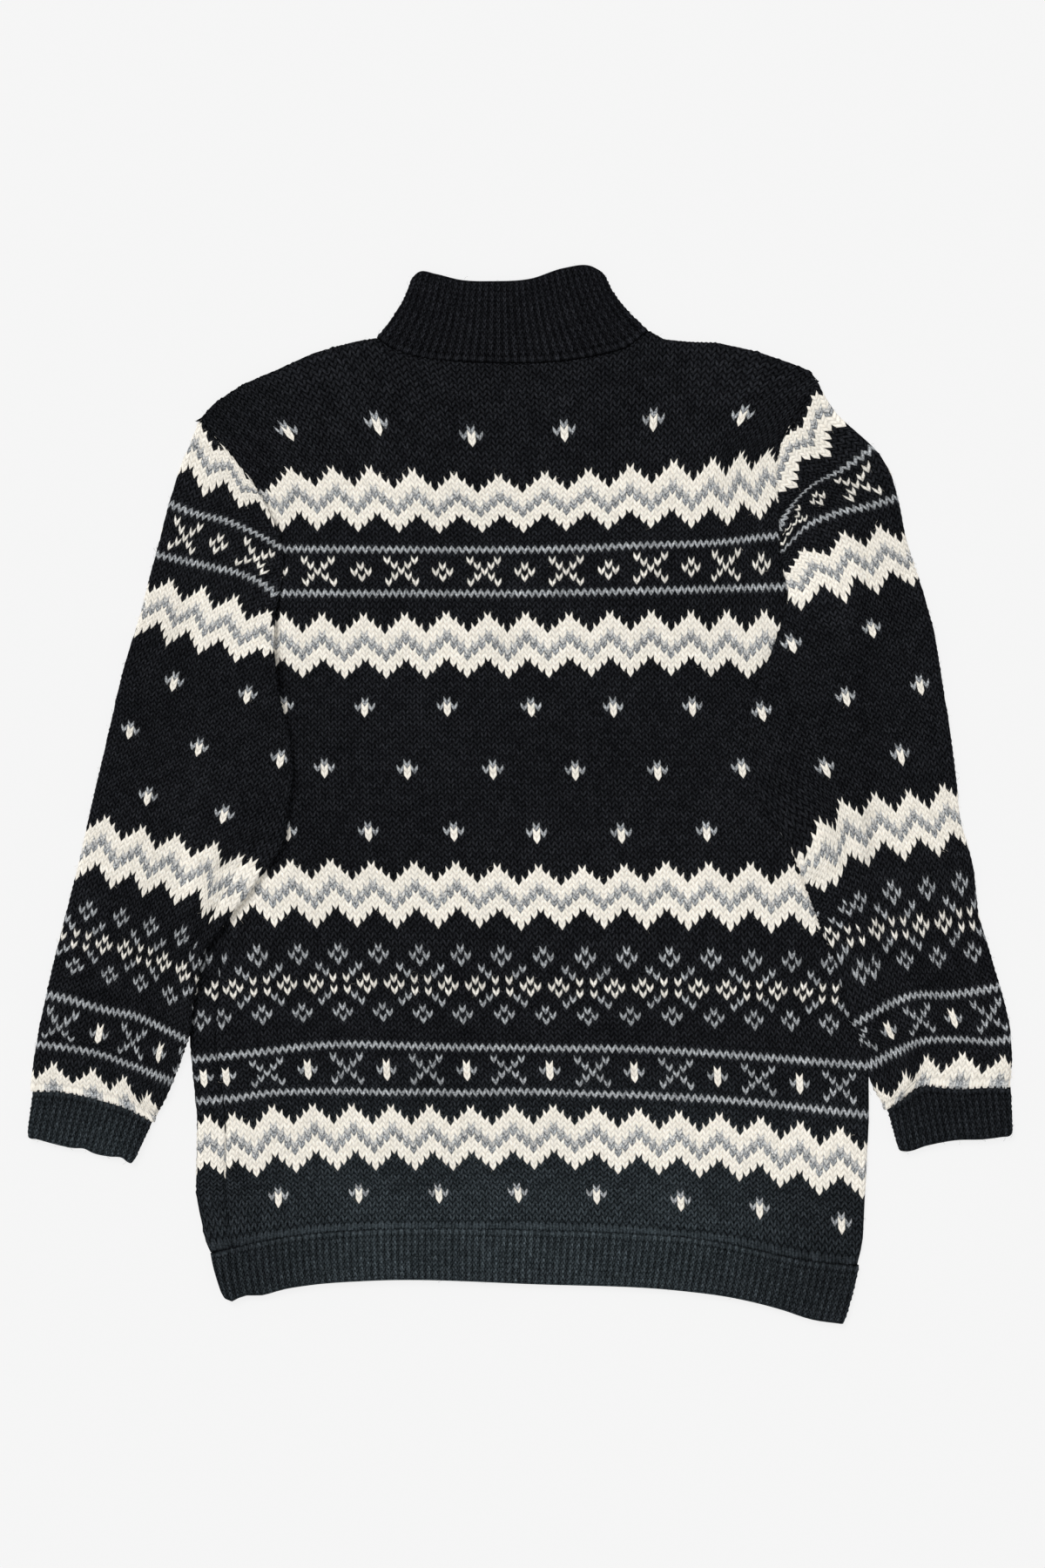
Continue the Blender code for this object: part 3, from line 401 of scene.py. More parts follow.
leftSleeveKnit = {
    16: [(-9.4, -402.1, -243.4), (-4, -374.9, -244.6), (1, -346.4, -250.8), (6, -324.1, -258.1),
        (10, -304.2, -268.2)],
    21.5: [(-9.2, -400, -218.5), (-6, -384.8, -221), (0, -352.6, -226), (6, -326.5, -232.2),
        (12, -306.7, -245.9), (15, -294.8, -253.1)],
    23.5: [(-9.2, -399.7, -207.4), (-6, -382.7, -209.2), (0, -351, -214.6), (6, -323.6, -224.1),
        (12, -299.9, -233.6), (15.5, -288.1, -238.4)],
    27.5: [(-9.2, -397.8, -191.2), (-6, -381.1, -193.8), (0, -348.2, -199.9), (6, -320.3, -206.1),
        (12, -298.7, -214.8), (16.5, -282.6, -222.1)],
    31.5: [(-9.3, -392.3, -167.1), (-6, -375.5, -170.3), (0, -344.2, -179.3), (6, -316.8, -185),
        (12, -292.7, -195.8), (16.5, -274, -204.8)],
    42.5: [(-9.4, -379.8, -117.7), (-6, -362.9, -122), (0, -335.2, -127.4), (6, -310.7, -134.6),
        (12, -286.9, -143.6), (16, -270.4, -153)],
    63.5: [(-8.9, -355.3, -14.8), (-6, -341.1, -17.8), (0, -311.3, -25.8), (6, -283.1, -32.7),
        (12, -250.4, -39), (18, -229.8, -49.3), (22, -207.7, -56.5)],
    68.5: [(-9, -351, 6.8), (0, -307.8, -2.5), (12, -244.4, -17.6), (20, -202.7, -27)],
    79.5: [(-9.3, -338.8, 56.5), (-6, -322.2, 52.2), (6, -265.3, 37.8), (18, -197.6, 28.4),
        (19.8, -187.6, 26.3)],
    90.5: [(-8.2, -329.4, 101.2), (0, -286.2, 91.8), (12, -225, 81), (17.4, -197.3, 76.7)],
    99: [(-9.8, -315, 145.1), (-6, -298.7, 140.4), (0, -274.9, 133.3), (6, -247.3, 125.6),
        (12, -215.1, 118.5), (14.3, -202.7, 115.6)],
    107.24: [(-9.6, -305.6, 181.8), (-6, -288.4, 176.2), (0, -261.4, 170.5), (6, -234.9, 163),
        (12, -207, 150.8)],
    110.5: [(-9.2, -299.4, 196.1), (-6, -284, 192.6), (0, -256.7, 186.3), (6, -228.6, 179.6),
        (9, -214.8, 172.9), (11.5, -202.2, 162.3)],
    114.5: [(-10.8, -297.7, 216.4), (-6, -277.4, 210.1), (0, -250.4, 204.9), (6, -218.9, 193.5),
        (10, -196.2, 184.7)],
    118.5: [(-9.5, -288.8, 237.2), (-6, -271.1, 230.8), (0, -242.6, 223.9), (6, -212.8, 210.9),
        (8.5, -201.1, 203.5)],
    122: [(-9, -277.6, 253.1), (-6, -261.8, 245.5), (0, -232.2, 236.2), (4, -213.5, 225)],
    125: even(-9, 6, [(-272.8, 268.1), (-243.6, 256), (-217.1, 240.8)]),
    133.24: even(-9, 6, [(-265.3, 308.5), (-235.8, 282.6), (-212, 250.2)]),
}
rightSleeveKnit = {
    16: [(8, 405, -241.4), (5, 388.9, -240.3), (0, 361.4, -241.4), (-6, 330.4, -239.8), (-12, 312, -252.4),
        (-16, 302.8, -258.1)],
    21.5: [(8, 406.4, -215.6), (6, 398.2, -215.1), (0, 364.8, -212.8), (-6, 335, -215.1),
        (-12, 317.2, -228.6), (-18, 292.5, -239.8)],
    23.5: [(8, 403.8, -203), (6, 393.5, -205.3), (0, 362.5, -203.5), (-6, 333, -204.7),
        (-12, 313.6, -212.8), (-18, 289.1, -225.2)],
    27.5: [(8.3, 399.2, -184), (6, 387.8, -185.2), (0, 358, -186.3), (-6, 330.4, -187.5),
        (-12, 305.1, -196.7), (-18, 281.2, -203.4)],
    31.5: [(8.3, 394.1, -161.1), (6, 382, -163.4), (0, 351.7, -167.2), (-6, 325.1, -167.6),
        (-12, 298.4, -178.2), (-17, 275.3, -190.9)],
    42.5: [(8, 376.9, -104), (6, 368.2, -105.3), (0, 340.3, -108.9), (-6, 313.1, -112.5),
        (-10, 294.1, -112.7), (-13, 281.2, -117), (-19, 250.2, -117.7)],
    52: [(8.2, 369, -47.2), (3, 345.8, -51.8), (-3, 317.7, -55.3), (-9, 287.3, -59.9), (-15, 260.3, -76),
        (-19, 240.1, -84.6)],
    63.5: [(8.4, 359.6, 11.2), (6, 348.1, 8.4), (0, 320, 3.8), (-6, 291.8, 1.5), (-12, 263.2, -3.6),
        (-18, 244.8, -20.3), (-22, 222.8, -37.1)],
    68.5: [(8.8, 358.9, 37.8), (0, 314.1, 31.8), (-12, 251.7, 20.8), (-20, 212, 7.6)],
    79.5: [(9.5, 348.1, 92.5), (6, 330.1, 89), (-6, 268.5, 79.3), (-18, 199, 67.1), (-19.8, 189, 65.2)],
    90.5: [(9.2, 338.8, 144.4), (0, 290.3, 135.9), (-12, 224.1, 123), (-14.3, 210.6, 120.6)],
    96: [(9.6, 328, 172.4), (9, 324.8, 171.4), (3, 295.5, 164.8), (-3, 268.5, 157.1), (-9, 231.2, 151.3),
        (-12, 214.9, 148.7)],
    99: [(10, 325.1, 186.1), (6, 306.1, 182.5), (0, 276.4, 177.6), (-6, 249.1, 170.7),
        (-11.5, 217.8, 163.1)],
    107.24: [(10.2, 316.4, 225), (6, 295.6, 220.9), (0, 265.9, 215.4), (-6, 232.4, 201.1),
        (-9, 215.6, 190.4)],
    110.5: [(10, 311.8, 243.2), (6, 291.9, 237), (0, 258.8, 229.5), (-4, 236.5, 220),
        (-8.5, 215.6, 199.1)],
    114.5: [(10.4, 306.4, 262.4), (6, 277.9, 254.4), (0, 245.7, 243.4), (-6, 227.2, 223.6),
        (-8.5, 213.5, 209.2)],
    118.5: [(10, 294.1, 285.5), (6, 270.8, 269.4), (0, 239.4, 253.4), (-4, 225, 238),
        (-8.5, 214.6, 215.4)],
    122: [(9, 275.4, 294.8), (6, 256.8, 278.9), (0, 229.3, 253.8), (-3, 214.9, 239.4)],
    125: [(12, 279, 318.6), (9, 257, 300.4), (3, 231.8, 275.1), (0, 215.6, 259.6)],
    133.24: [(12, 258.1, 340.2), (9, 242.9, 329.8), (3, 215.6, 294.6), (0, 203.4, 279)],
}

# the body's outline: y, left fold or armhole, seam between front and back at the left, right fold or armhole
bodySides = [
    (-388, -250.5, -236, 278), (-378, -255, -236, 281), (-366, -261, -239, 283), (-328, -268, -243, 285),
    (-267, -267, -243, 288), (-205, -273, -252, 288), (-140, -272, -247, 286), (-63, -267, -242, 281),
    (0, -262, -242, 277), (42, -259, -240, 274), (84, -199, -199, 252), (121, -203, -203, 235),
    (150, -202, -202, 219), (169, -197, -197, 221), (191, -195, -195, 216), (213, -197, -197, 214),
    (239, -210, -210, 213), (265, -226, -226, 211), (286, -244, -244, 214), (304, -260, -260, 221),
    (326, -272, -272, 236), (342, -270, -270, 244)]
ribLine = [(-256.5, -378), (-215, -368), (-178, -362), (-121, -358), (2, -358), (86, -361), (159, -367),
           (196, -375), (233, -383), (280, -388)]
shoulders = [(-265, 309), (-253, 323), (-229, 339), (-203, 350), (-170, 365), (-137, 374), (-119, 377)]
backNeck = [(-106, 368), (-85, 361), (-41, 357), (2, 356), (38, 358), (67, 363), (88, 369)]
frontNeck = [(-100, 350), (-60, 331), (-5, 324), (50, 332), (88, 353)]
farShoulders = [(106, 383), (119, 376), (139, 374), (164, 373), (195, 366), (224, 356), (239, 350),
                (244, 342)]

wall = {
    "fold": 3.4,           # radius of a fold
    "seamGap": 0.15,       # from a seam's line to each of its pieces
    "underRoll": 16.0,     # how far the back runs on beneath the right fold, to its seam with the front
    "tubeBelow": 60,       # below this y the body is a tube with folded sides, above it lie the armholes
    "sleeveAbove": 40,     # above this y the sleeves cover the body's edges
    "ramp": 14.0,          # a sleeve steps up onto the body over this length
}


def sideAt(y, k):
    rows = np.array(bodySides, float)
    return np.interp(y, rows[:, 0], rows[:, k])


def topAt(x, neck):
    line = np.array(shoulders + neck + farShoulders, float)
    return np.interp(x, line[:, 0], line[:, 1])


# soft creases of the knit as it lies: points along each, half width and rise (less than 0 is a trough)
creases = {
    "body": [
        ([(203, 333), (196, 305), (182, 282)], 8, -2.0),
        ([(-226, 262), (-214, 246), (-207, 232), (-197, 210), (-194, 188)], 5, -2.2),
        ([(-206, 165), (-204, 130), (-198, 96)], 6, -2.4),
        ([(-202, 107), (-196, 78), (-190, 50), (-188, 30)], 5, -3.0),
        ([(206, 250), (210, 225), (208, 205)], 5, -1.8),
        ([(-190, 150), (-186, 110), (-182, 60), (-190, 10)], 8, 1.2),
        ([(-176, 40), (-150, 20), (-120, 12)], 9, -0.9),
        ([(208, 60), (180, 30), (150, 18)], 9, -1.0),
        ([(150, -120), (60, -132), (-40, -126)], 16, 0.7),
        ([(-230, -150), (-150, -170), (-60, -160)], 14, -0.6),
        ([(-120, -290), (0, -300), (120, -296)], 18, 0.6),
        ([(-150, 330), (-60, 318), (40, 322), (150, 332)], 14, 0.8),
        ([(240, -190), (200, -230), (190, -290)], 12, -0.9),
        ([(-225, -300), (-180, -345)], 12, -0.8),
        ([(60, 250), (90, 180), (70, 90)], 22, 0.6)],
    "left": [
        ([(-212, 215), (-222, 190), (-235, 160)], 6, -1.7),
        ([(-200, 62), (-225, 40), (-262, 30)], 8, -1.1),
        ([(-222, -55), (-262, -62), (-300, -50)], 8, -1.2),
        ([(-246, -82), (-290, -100), (-330, -96)], 7, 0.9),
        ([(-262, -150), (-300, -140), (-350, -146)], 9, -0.9),
        ([(-330, 120), (-318, 20), (-352, -110)], 13, 0.8),
        ([(-205, -24), (-231.5, -60.1), (-247.3, -87.5), (-268.2, -123.5), (-272, -150)], 2.6, -1.3),
        ([(-300, -232), (-350, -205), (-392, -196)], 9, -0.7)],
    "right": [
        ([(240, -56), (262, -80), (280.4, -109.1), (283.3, -119.9), (286.2, -130), (291, -143), (280, -166)],
         2.6, -1.3),
        ([(224, 232), (250, 236), (282, 258)], 6, -2.2),
        ([(228, 214), (262, 216), (300, 230)], 6, 1.3),
        ([(206, 110), (240, 104), (282, 112)], 8, -1.2),
        ([(204, 20), (250, 6), (300, 10)], 9, -1.0),
        ([(232, -70), (270, -60), (318, -64)], 8, -1.2),
        ([(262, -150), (310, -134), (360, -140)], 9, -0.8),
        ([(340, 140), (338, 20), (362, -110)], 13, 0.8),
        ([(300, -232), (340, -214), (388, -206)], 9, -0.8)]}


creaseLook = {"points": 24, "taper": 0.7, "strength": 1.5}


def creaseAt(x, y, lines):
    # how far the knit is raised or sunk by creases, which run out at both ends
    rise = np.zeros_like(x)
    for points, half, height in lines:
        line = alongLine(points, creaseLook["points"])
        away = np.hypot(x[:, None] - line[None, :, 0], y[:, None] - line[None, :, 1])
        nearest = away.argmin(axis=1)
        fade = np.sin(math.pi * (nearest + 1.0) / (creaseLook["points"] + 1.0)) ** creaseLook["taper"]
        rise += creaseLook["strength"] * height * fade * np.exp(-(away.min(axis=1) / half) ** 2)
    return rise


def undulate(x, y, size):
    # a slow unevenness, never the same on two sides
    return size * (0.5 * np.sin(x / 61 + 0.7) * np.cos(y / 83 - 0.4) + 0.3 * np.sin((x + 0.6 * y) / 47)
                   + 0.2 * np.cos((x - 1.3 * y) / 29 + 1.1))


def foldRight(w, edge, r):
    # w runs outwards over the top, round a fold at the edge and back along the underside
    s = np.maximum(w - (edge - r), 0)
    turn = np.minimum(s / r, math.pi)
    flat = np.where(s > 0, edge - r + r * np.sin(turn) - np.maximum(s - math.pi * r, 0), w)
    return flat, r + r * np.cos(turn), np.cos(turn)


skin = {
    "sink": 0.7,            # how far the knit's ground lies below the solid's face
    "edgeDip": 1.3,         # how far it dips at a seam, over edgeWidth
    "edgeWidth": 4.5,
    "pickUp": 1.5,          # how far the first row runs on into the rib, and how much lower it lies
    "pickUpDrop": (0.9, 0.3),
    "allowance": 2.5,       # how far the back runs on beneath a sleeve, and how much lower
    "allowanceDrop": 1.0,
    "legRise": 0.85,        # how much of a row a stitch's legs rise from its middle to its sides
    "leastFace": 0.35,      # faces under this many square mm are left out
    "leastRow": 6,          # a sleeve's rows are left out where they are shorter than this
    "clear": -5,            # stitches are cut finely only this far from the sleeves
    "facing": 0.55,         # and where the knit faces up this much
    "unevenness": {"body": 0.6, "sleeve": 0.7},
}


def knitMesh(name, stitches, rows, surface, outOfStep=None):
    # surface(wales, row) gives each wale's point, normal and whether it lies inside the piece
    waleEdges = np.arange(stitches[0] - 0.5, stitches[1] + 0.51, 0.5)
    isEdge = (np.abs(waleEdges - np.round(waleEdges)) > 0.25)
    points, inside, fine, tags = [], [], [], []
    for row in range(rows[0], rows[1] + 2):
        low = surface(waleEdges, float(row))
        high = surface(waleEdges, row + (skin["legRise"] if row > rows[0] else 0.0))
        points.append(np.where(isEdge[:, None], high[0], low[0]))
        inside.append(np.where(isEdge, high[1], low[1]))
        fine.append(np.where(isEdge, high[2], low[2]))
        tags.append(np.stack([waleEdges, np.full(len(waleEdges), float(row)), np.zeros(len(waleEdges))], 1))
    points, inside, fine, tags = (np.array(part) for part in (points, inside, fine, tags))
    # the first row is picked up inside the rib
    points[0, :, 1] -= skin["pickUp"]
    for i, drop in enumerate(skin["pickUpDrop"]):
        points[i, :, 2] = np.maximum(points[i, :, 2] - drop, lowest)
    count = len(waleEdges)
    faces, yarns, fineFaces = [], [], []
    for i in range(points.shape[0] - 1):
        row = rows[0] + i
        for j in range(count - 1):
            corners = ((i, j), (i, j + 1), (i + 1, j + 1), (i + 1, j))
            if not any(inside[a] for a in corners):
                continue
            p = [points[a] for a in corners]
            area = np.linalg.norm(np.cross(p[2] - p[0], p[3] - p[1])) / 2
            if area < skin["leastFace"]:
                continue
            c = int(math.floor((waleEdges[j] + waleEdges[j + 1]) / 2 + 0.5))
            faces.append([a * count + b for a, b in corners])
            middle = (p[0] + p[2]) / 2
            turned = outOfStep(middle[0], middle[1]) if outOfStep else 0
            yarns.append(0 if turned is None else yarnAt(c + turned, row))
            fineFaces.append(bool(all(fine[a] for a in corners)))
    return buildPiece(name, points.reshape(-1, 3), faces, yarns, fineFaces, tags.reshape(-1, 3))


def buildPiece(name, points, faces, yarns, fineFaces, tags, raised=None):
    mesh = bpy.data.meshes.new(name)
    used = np.unique(np.array([v for f in faces for v in f]))
    remap = -np.ones(len(points), int)
    remap[used] = np.arange(len(used))
    mesh.from_pydata((points[used] * mm).tolist(), [], [[int(remap[v]) for v in f] for f in faces])
    yarn = mesh.attributes.new("yarn", "INT", "FACE")
    yarn.data.foreach_set("value", np.array(yarns, np.int32))
    fine = mesh.attributes.new("fine", "BOOLEAN", "FACE")
    fine.data.foreach_set("value", np.array(fineFaces, bool))
    stitch = mesh.attributes.new("stitchAt", "FLOAT_VECTOR", "POINT")
    stitch.data.foreach_set("vector", tags[used].astype(np.float32).ravel())
    # relief fades out where the fine stitches meet the plain hidden ones
    touch = np.zeros(len(used))
    for f, isFine in zip(faces, fineFaces):
        if not isFine:
            touch[remap[f]] = 1
    relief = mesh.attributes.new("relief", "FLOAT", "POINT")
    shares = (1 - touch) * (1 if raised is None else raised[used])
    relief.data.foreach_set("value", shares.astype(np.float32))
    mesh.update()
    piece = bpy.data.objects.new(name, mesh)
    bpy.context.scene.collection.objects.link(piece)
    return piece


stitchLook = {"height": 0.0013, "dip": 0.35, "unevenness": 0.00035, "seed": 7}
yarnNames = ("Ground yarn", "Second yarn", "Third yarn", "Fourth yarn", "Fifth yarn")


def newTree(name, inputs):
    tree = bpy.data.node_groups.new(name, "GeometryNodeTree")
    for label, kind in {"Geometry": "Geometry", **inputs}.items():
        tree.interface.new_socket(label, in_out="INPUT", socket_type="NodeSocket" + kind)
    tree.interface.new_socket("Geometry", in_out="OUTPUT", socket_type="NodeSocketGeometry")
    return tree


def knitStitches():
    tree = newTree("knitStitches", {"Stitch height": "Float", "Row dip": "Float", "Unevenness": "Float",
                                    "Seed": "Int", **{name: "Material" for name in yarnNames}})
    get = add(tree, "NodeGroupInput").outputs
    fine = add(tree, "GeometryNodeInputNamedAttribute", {"data_type": "BOOLEAN"}, ["fine"])
    parts = add(tree, "GeometryNodeSeparateGeometry", {"domain": "FACE"}, [get["Geometry"], fine])
    cut = add(tree, "GeometryNodeSubdivideMesh", None, [parts.outputs[0], 1])
    whole = add(tree, "GeometryNodeJoinGeometry", None, [cut])
    tree.links.new(parts.outputs[1], whole.inputs[0])
    welded = add(tree, "GeometryNodeMergeByDistance", None, {0: whole, 2: 0.00001})
    stitch = add(tree, "GeometryNodeInputNamedAttribute", {"data_type": "FLOAT_VECTOR"}, ["stitchAt"])
    relief = add(tree, "GeometryNodeInputNamedAttribute", {"data_type": "FLOAT"}, ["relief"])
    wale, course = add(tree, "ShaderNodeSeparateXYZ", None, [stitch]).outputs[:2]
    across = ripple(tree, wale, 2 * math.pi)
    rest = add(tree, "ShaderNodeMath", {"operation": "SUBTRACT"}, [1.0, get["Row dip"]])
    along = add(tree, "ShaderNodeMath", multiplyAdd, [ripple(tree, course, math.pi), rest, get["Row dip"]])
    height = add(tree, "ShaderNodeMath", multiply, [across, along])
    height = add(tree, "ShaderNodeMath", multiply, [height, get["Stitch height"]])
    uneven = add(tree, "FunctionNodeRandomValue", {"data_type": "FLOAT"}, {2: -1.0, 3: 1.0, 8: get["Seed"]})
    wobble = add(tree, "ShaderNodeMath", multiply, [uneven.outputs[1], get["Unevenness"]])
    height = add(tree, "ShaderNodeMath", {"operation": "ADD"}, [height, wobble])
    height = add(tree, "ShaderNodeMath", multiply, [height, relief])
    normal = add(tree, "GeometryNodeInputNormal")
    push = add(tree, "ShaderNodeVectorMath", {"operation": "SCALE"}, {0: normal, 3: height})
    moved = add(tree, "GeometryNodeSetPosition", None, {0: welded, "Offset": push})
    smooth = add(tree, "GeometryNodeSetShadeSmooth", None, [moved])
    shown = add(tree, "GeometryNodeSetMaterial", None, {0: smooth, 2: get["Ground yarn"]})
    yarn = add(tree, "GeometryNodeInputNamedAttribute", {"data_type": "INT"}, ["yarn"])
    for k, name in enumerate(yarnNames[1:], 1):
        match = add(tree, "FunctionNodeCompare", {"data_type": "INT", "operation": "EQUAL"}, {2: yarn, 3: k})
        shown = add(tree, "GeometryNodeSetMaterial", None, [shown, match, get[name]])
    done = add(tree, "GeometryNodeRealizeInstances", None, [shown])
    add(tree, "NodeGroupOutput", None, [done])
    return tree


stitchTree = knitStitches()


def socketsOf(tree):
    return {item.name: item.identifier for item in tree.interface.items_tree if item.in_out == "INPUT"}


def grow(piece, tree, values):
    modifier = piece.modifiers.new(tree.name, "NODES")
    modifier.node_group = tree
    names = socketsOf(tree)
    for name, value in values.items():
        modifier[names[name]] = value
    bpy.context.view_layer.update()
    ready = piece.evaluated_get(bpy.context.evaluated_depsgraph_get())
    mesh = bpy.data.meshes.new_from_object(ready)
    piece.modifiers.clear()
    piece.data = mesh
    triangles = sum(len(p.vertices) - 2 for p in mesh.polygons)
    print("  ", piece.name, len(mesh.polygons), "faces,", triangles, "triangles")
    return piece


def knitUp(piece, ground=None, height=None):
    return grow(piece, stitchTree, {
        "Stitch height": height or stitchLook["height"], "Row dip": stitchLook["dip"],
        "Unevenness": stitchLook["unevenness"], "Seed": stitchLook["seed"],
        **dict(zip(yarnNames, (ground or blackWool, creamWool, greyWool, paintedShadeGreyWool, paintedShadeCreamWool)))})


fuzzLook = {
    "density": (42000.0, 160000.0, 110000.0, 115000.0, 190000.0),    # fibres a square metre, for each yarn
    "length": (0.0036, 0.0032, 0.0030, 0.0030, 0.0028),
    "width": 0.00011, "seed": 31,
    "facing": 0.1,                 # fibres grow only where the knit faces up this much
    "middle": (0.5, 0.32, 0.16),   # where a fibre's middle lies, in shares of its length
    "turnFrom": (-0.6, -0.7, -3.15), "turnTo": (0.6, 0.25, 3.15),
    "size": (0.45, 1.5),
    "clear": 0.0004,               # no fibre lies lower over the floor
}


def woolFuzz():
    # fibres brushed out of the yarn: thin bent ribbons, each in the colour of the stitch it springs from
    tree = newTree("woolFuzz", {"Density": "Float", "Length": "Float", "Width": "Float",
                                "Yarn": "Int", "Seed": "Int", "Fibre": "Material"})
    get = add(tree, "NodeGroupInput").outputs
    yarn = add(tree, "GeometryNodeInputNamedAttribute", {"data_type": "INT"}, ["yarn"])
    mine = add(tree, "FunctionNodeCompare", {"data_type": "INT", "operation": "EQUAL"},
               {2: yarn, 3: get["Yarn"]})
    normal = add(tree, "GeometryNodeInputNormal")
    upward = add(tree, "ShaderNodeSeparateXYZ", None, [normal]).outputs[2]
    shown = add(tree, "FunctionNodeCompare", {"data_type": "FLOAT", "operation": "GREATER_THAN"},
                [upward, fuzzLook["facing"]])
    both = add(tree, "FunctionNodeBooleanMath", {"operation": "AND"}, [mine, shown])
    roots = add(tree, "GeometryNodeDistributePointsOnFaces", {"distribute_method": "RANDOM"},
                {"Mesh": get["Geometry"], "Selection": both, "Density": get["Density"], "Seed": get["Seed"]})
    bend = [add(tree, "ShaderNodeMath", multiply, [get["Length"], share]) for share in fuzzLook["middle"]]
    middle = add(tree, "ShaderNodeCombineXYZ", None, bend)
    tip = add(tree, "ShaderNodeCombineXYZ", None, [get["Length"]])
    strand = add(tree, "GeometryNodeCurveQuadraticBezier", None,
                 {"Resolution": 3, "Start": (0, 0, 0), "Middle": middle, "End": tip})
    across = add(tree, "ShaderNodeCombineXYZ", None, {1: get["Width"]})
    profile = add(tree, "GeometryNodeCurvePrimitiveLine", None, {"Start": (0, 0, 0), "End": across})
    ribbon = add(tree, "GeometryNodeCurveToMesh", None, {0: strand, "Profile Curve": profile})
    spin = add(tree, "FunctionNodeRandomValue", {"data_type": "FLOAT_VECTOR"},
               {0: fuzzLook["turnFrom"], 1: fuzzLook["turnTo"], 8: get["Seed"]})
    turned = add(tree, "FunctionNodeRotateRotation", {"rotation_space": "LOCAL"},
                 [roots.outputs["Rotation"], spin.outputs[0]])
    size = add(tree, "FunctionNodeRandomValue", {"data_type": "FLOAT"},
               {2: fuzzLook["size"][0], 3: fuzzLook["size"][1], 8: get["Seed"]})
    placed = add(tree, "GeometryNodeInstanceOnPoints", None, {
        "Points": roots.outputs[0], "Instance": ribbon, "Rotation": turned, "Scale": size.outputs[1]})
    real = add(tree, "GeometryNodeRealizeInstances", None, [placed])
    # no fibre dips into the floor
    at = add(tree, "GeometryNodeInputPosition")
    x, y, z = add(tree, "ShaderNodeSeparateXYZ", None, [at]).outputs
    raised = add(tree, "ShaderNodeMath", {"operation": "MAXIMUM"}, [z, fuzzLook["clear"]])
    kept = add(tree, "ShaderNodeCombineXYZ", None, [x, y, raised])
    clear = add(tree, "GeometryNodeSetPosition", None, {0: real, "Position": kept})
    dyed = add(tree, "GeometryNodeSetMaterial", None, {0: clear, 2: get["Fibre"]})
    add(tree, "NodeGroupOutput", None, [dyed])
    return tree


fuzzTree = woolFuzz()


def fuzzOn(piece, name):
    yarns = np.empty(len(piece.data.polygons), np.int32)
    piece.data.attributes["yarn"].data.foreach_get("value", yarns)
    parts = []
    for k, fibre in enumerate((blackFibre, creamFibre, greyFibre, greyFibre, creamFibre)):
        if k not in yarns:
            continue
        copy = bpy.data.objects.new(name + str(k), piece.data.copy())
        bpy.context.scene.collection.objects.link(copy)
        grow(copy, fuzzTree, {
            "Density": fuzzLook["density"][k], "Length": fuzzLook["length"][k], "Width": fuzzLook["width"],
            "Yarn": k, "Seed": fuzzLook["seed"] + k, "Fibre": fibre})
        parts.append((copy, fibre))
    made = bmesh.new()
    fibres = bpy.data.meshes.new(name)
    for slot, (part, fibre) in enumerate(parts):
        fibres.materials.append(fibre)
        start = len(made.faces)
        made.from_mesh(part.data)
        made.faces.ensure_lookup_table()
        for f in made.faces[start:]:
            f.material_index = slot
        bpy.data.objects.remove(part)
    made.to_mesh(fibres)
    made.free()
    fuzz = bpy.data.objects.new(name, fibres)
    bpy.context.scene.collection.objects.link(fuzz)
    return fuzz


class Fabric:
    # the run of rows and wales over a flat piece, smooth through the measured places
    def __init__(self, places):
        self.rows = np.array(sorted(places))
        self.places = places

    def table(self, wales):
        out = []
        for row in self.rows:
            p = np.array(self.places[row], float)
            p = p[p[:, 0].argsort()]
            inner = through(p[:, 0], p[:, 1:], np.clip(wales, p[0, 0], p[-1, 0]))
            span = min(len(p) - 1, 3)
            before, beyond = np.minimum(wales - p[0, 0], 0), np.maximum(wales - p[-1, 0], 0)
            for end, step, past in ((0, span, before), (-1, -1 - span, beyond)):
                rate = (p[step, 1:] - p[end, 1:]) / (p[step, 0] - p[end, 0])
                inner = inner + past[:, None] * rate[None, :]
            out.append(inner)
        return np.array(out)

    def row(self, wales, row):
        key = (len(wales), float(wales[0]))
        if getattr(self, "key", None) != key:
            self.key, self.grid = key, self.table(wales)
        return through(self.rows, self.grid, [row])[0]


# the row that is picked up from the rib lies evenly along it
ribRow = []
for c in range(-42, 61, 6):
    x = -201 + (c + 30) * (466.7 / 84)
    ribRow.append((c, x, float(np.interp(x, *np.array(ribLine, float).T))))
bodyKnit[0] = ribRow
bodyFabric = Fabric(bodyKnit)


coverEdges = {    # y and x along the edges of the sleeves
    "right": ([-257, -236, -141, -98, -41, -8, 30, 65, 112, 150, 169, 189, 342],
              [301, 289, 262, 242, 222, 200, 187, 188, 205, 219, 221, 216, 400]),
    "left": ([-304, -267, -220, -172, -128, -86, -39, 22, 51, 81, 121, 150, 306],
             [-320, -302, -281, -270, -261, -228, -194, -187, -191, -199, -203, -202, -400])}


def sleeveCover(x, y):
    # how far inside the part that a sleeve hides, less than 0 where the body shows
    rightIn = np.interp(y, *coverEdges["right"])
    leftIn = np.interp(y, *coverEdges["left"])
    return np.maximum(x - rightIn, leftIn - x)


def edgeDip(away):
    return -skin["edgeDip"] * np.clip(1 - away / skin["edgeWidth"], 0, 1) ** 2


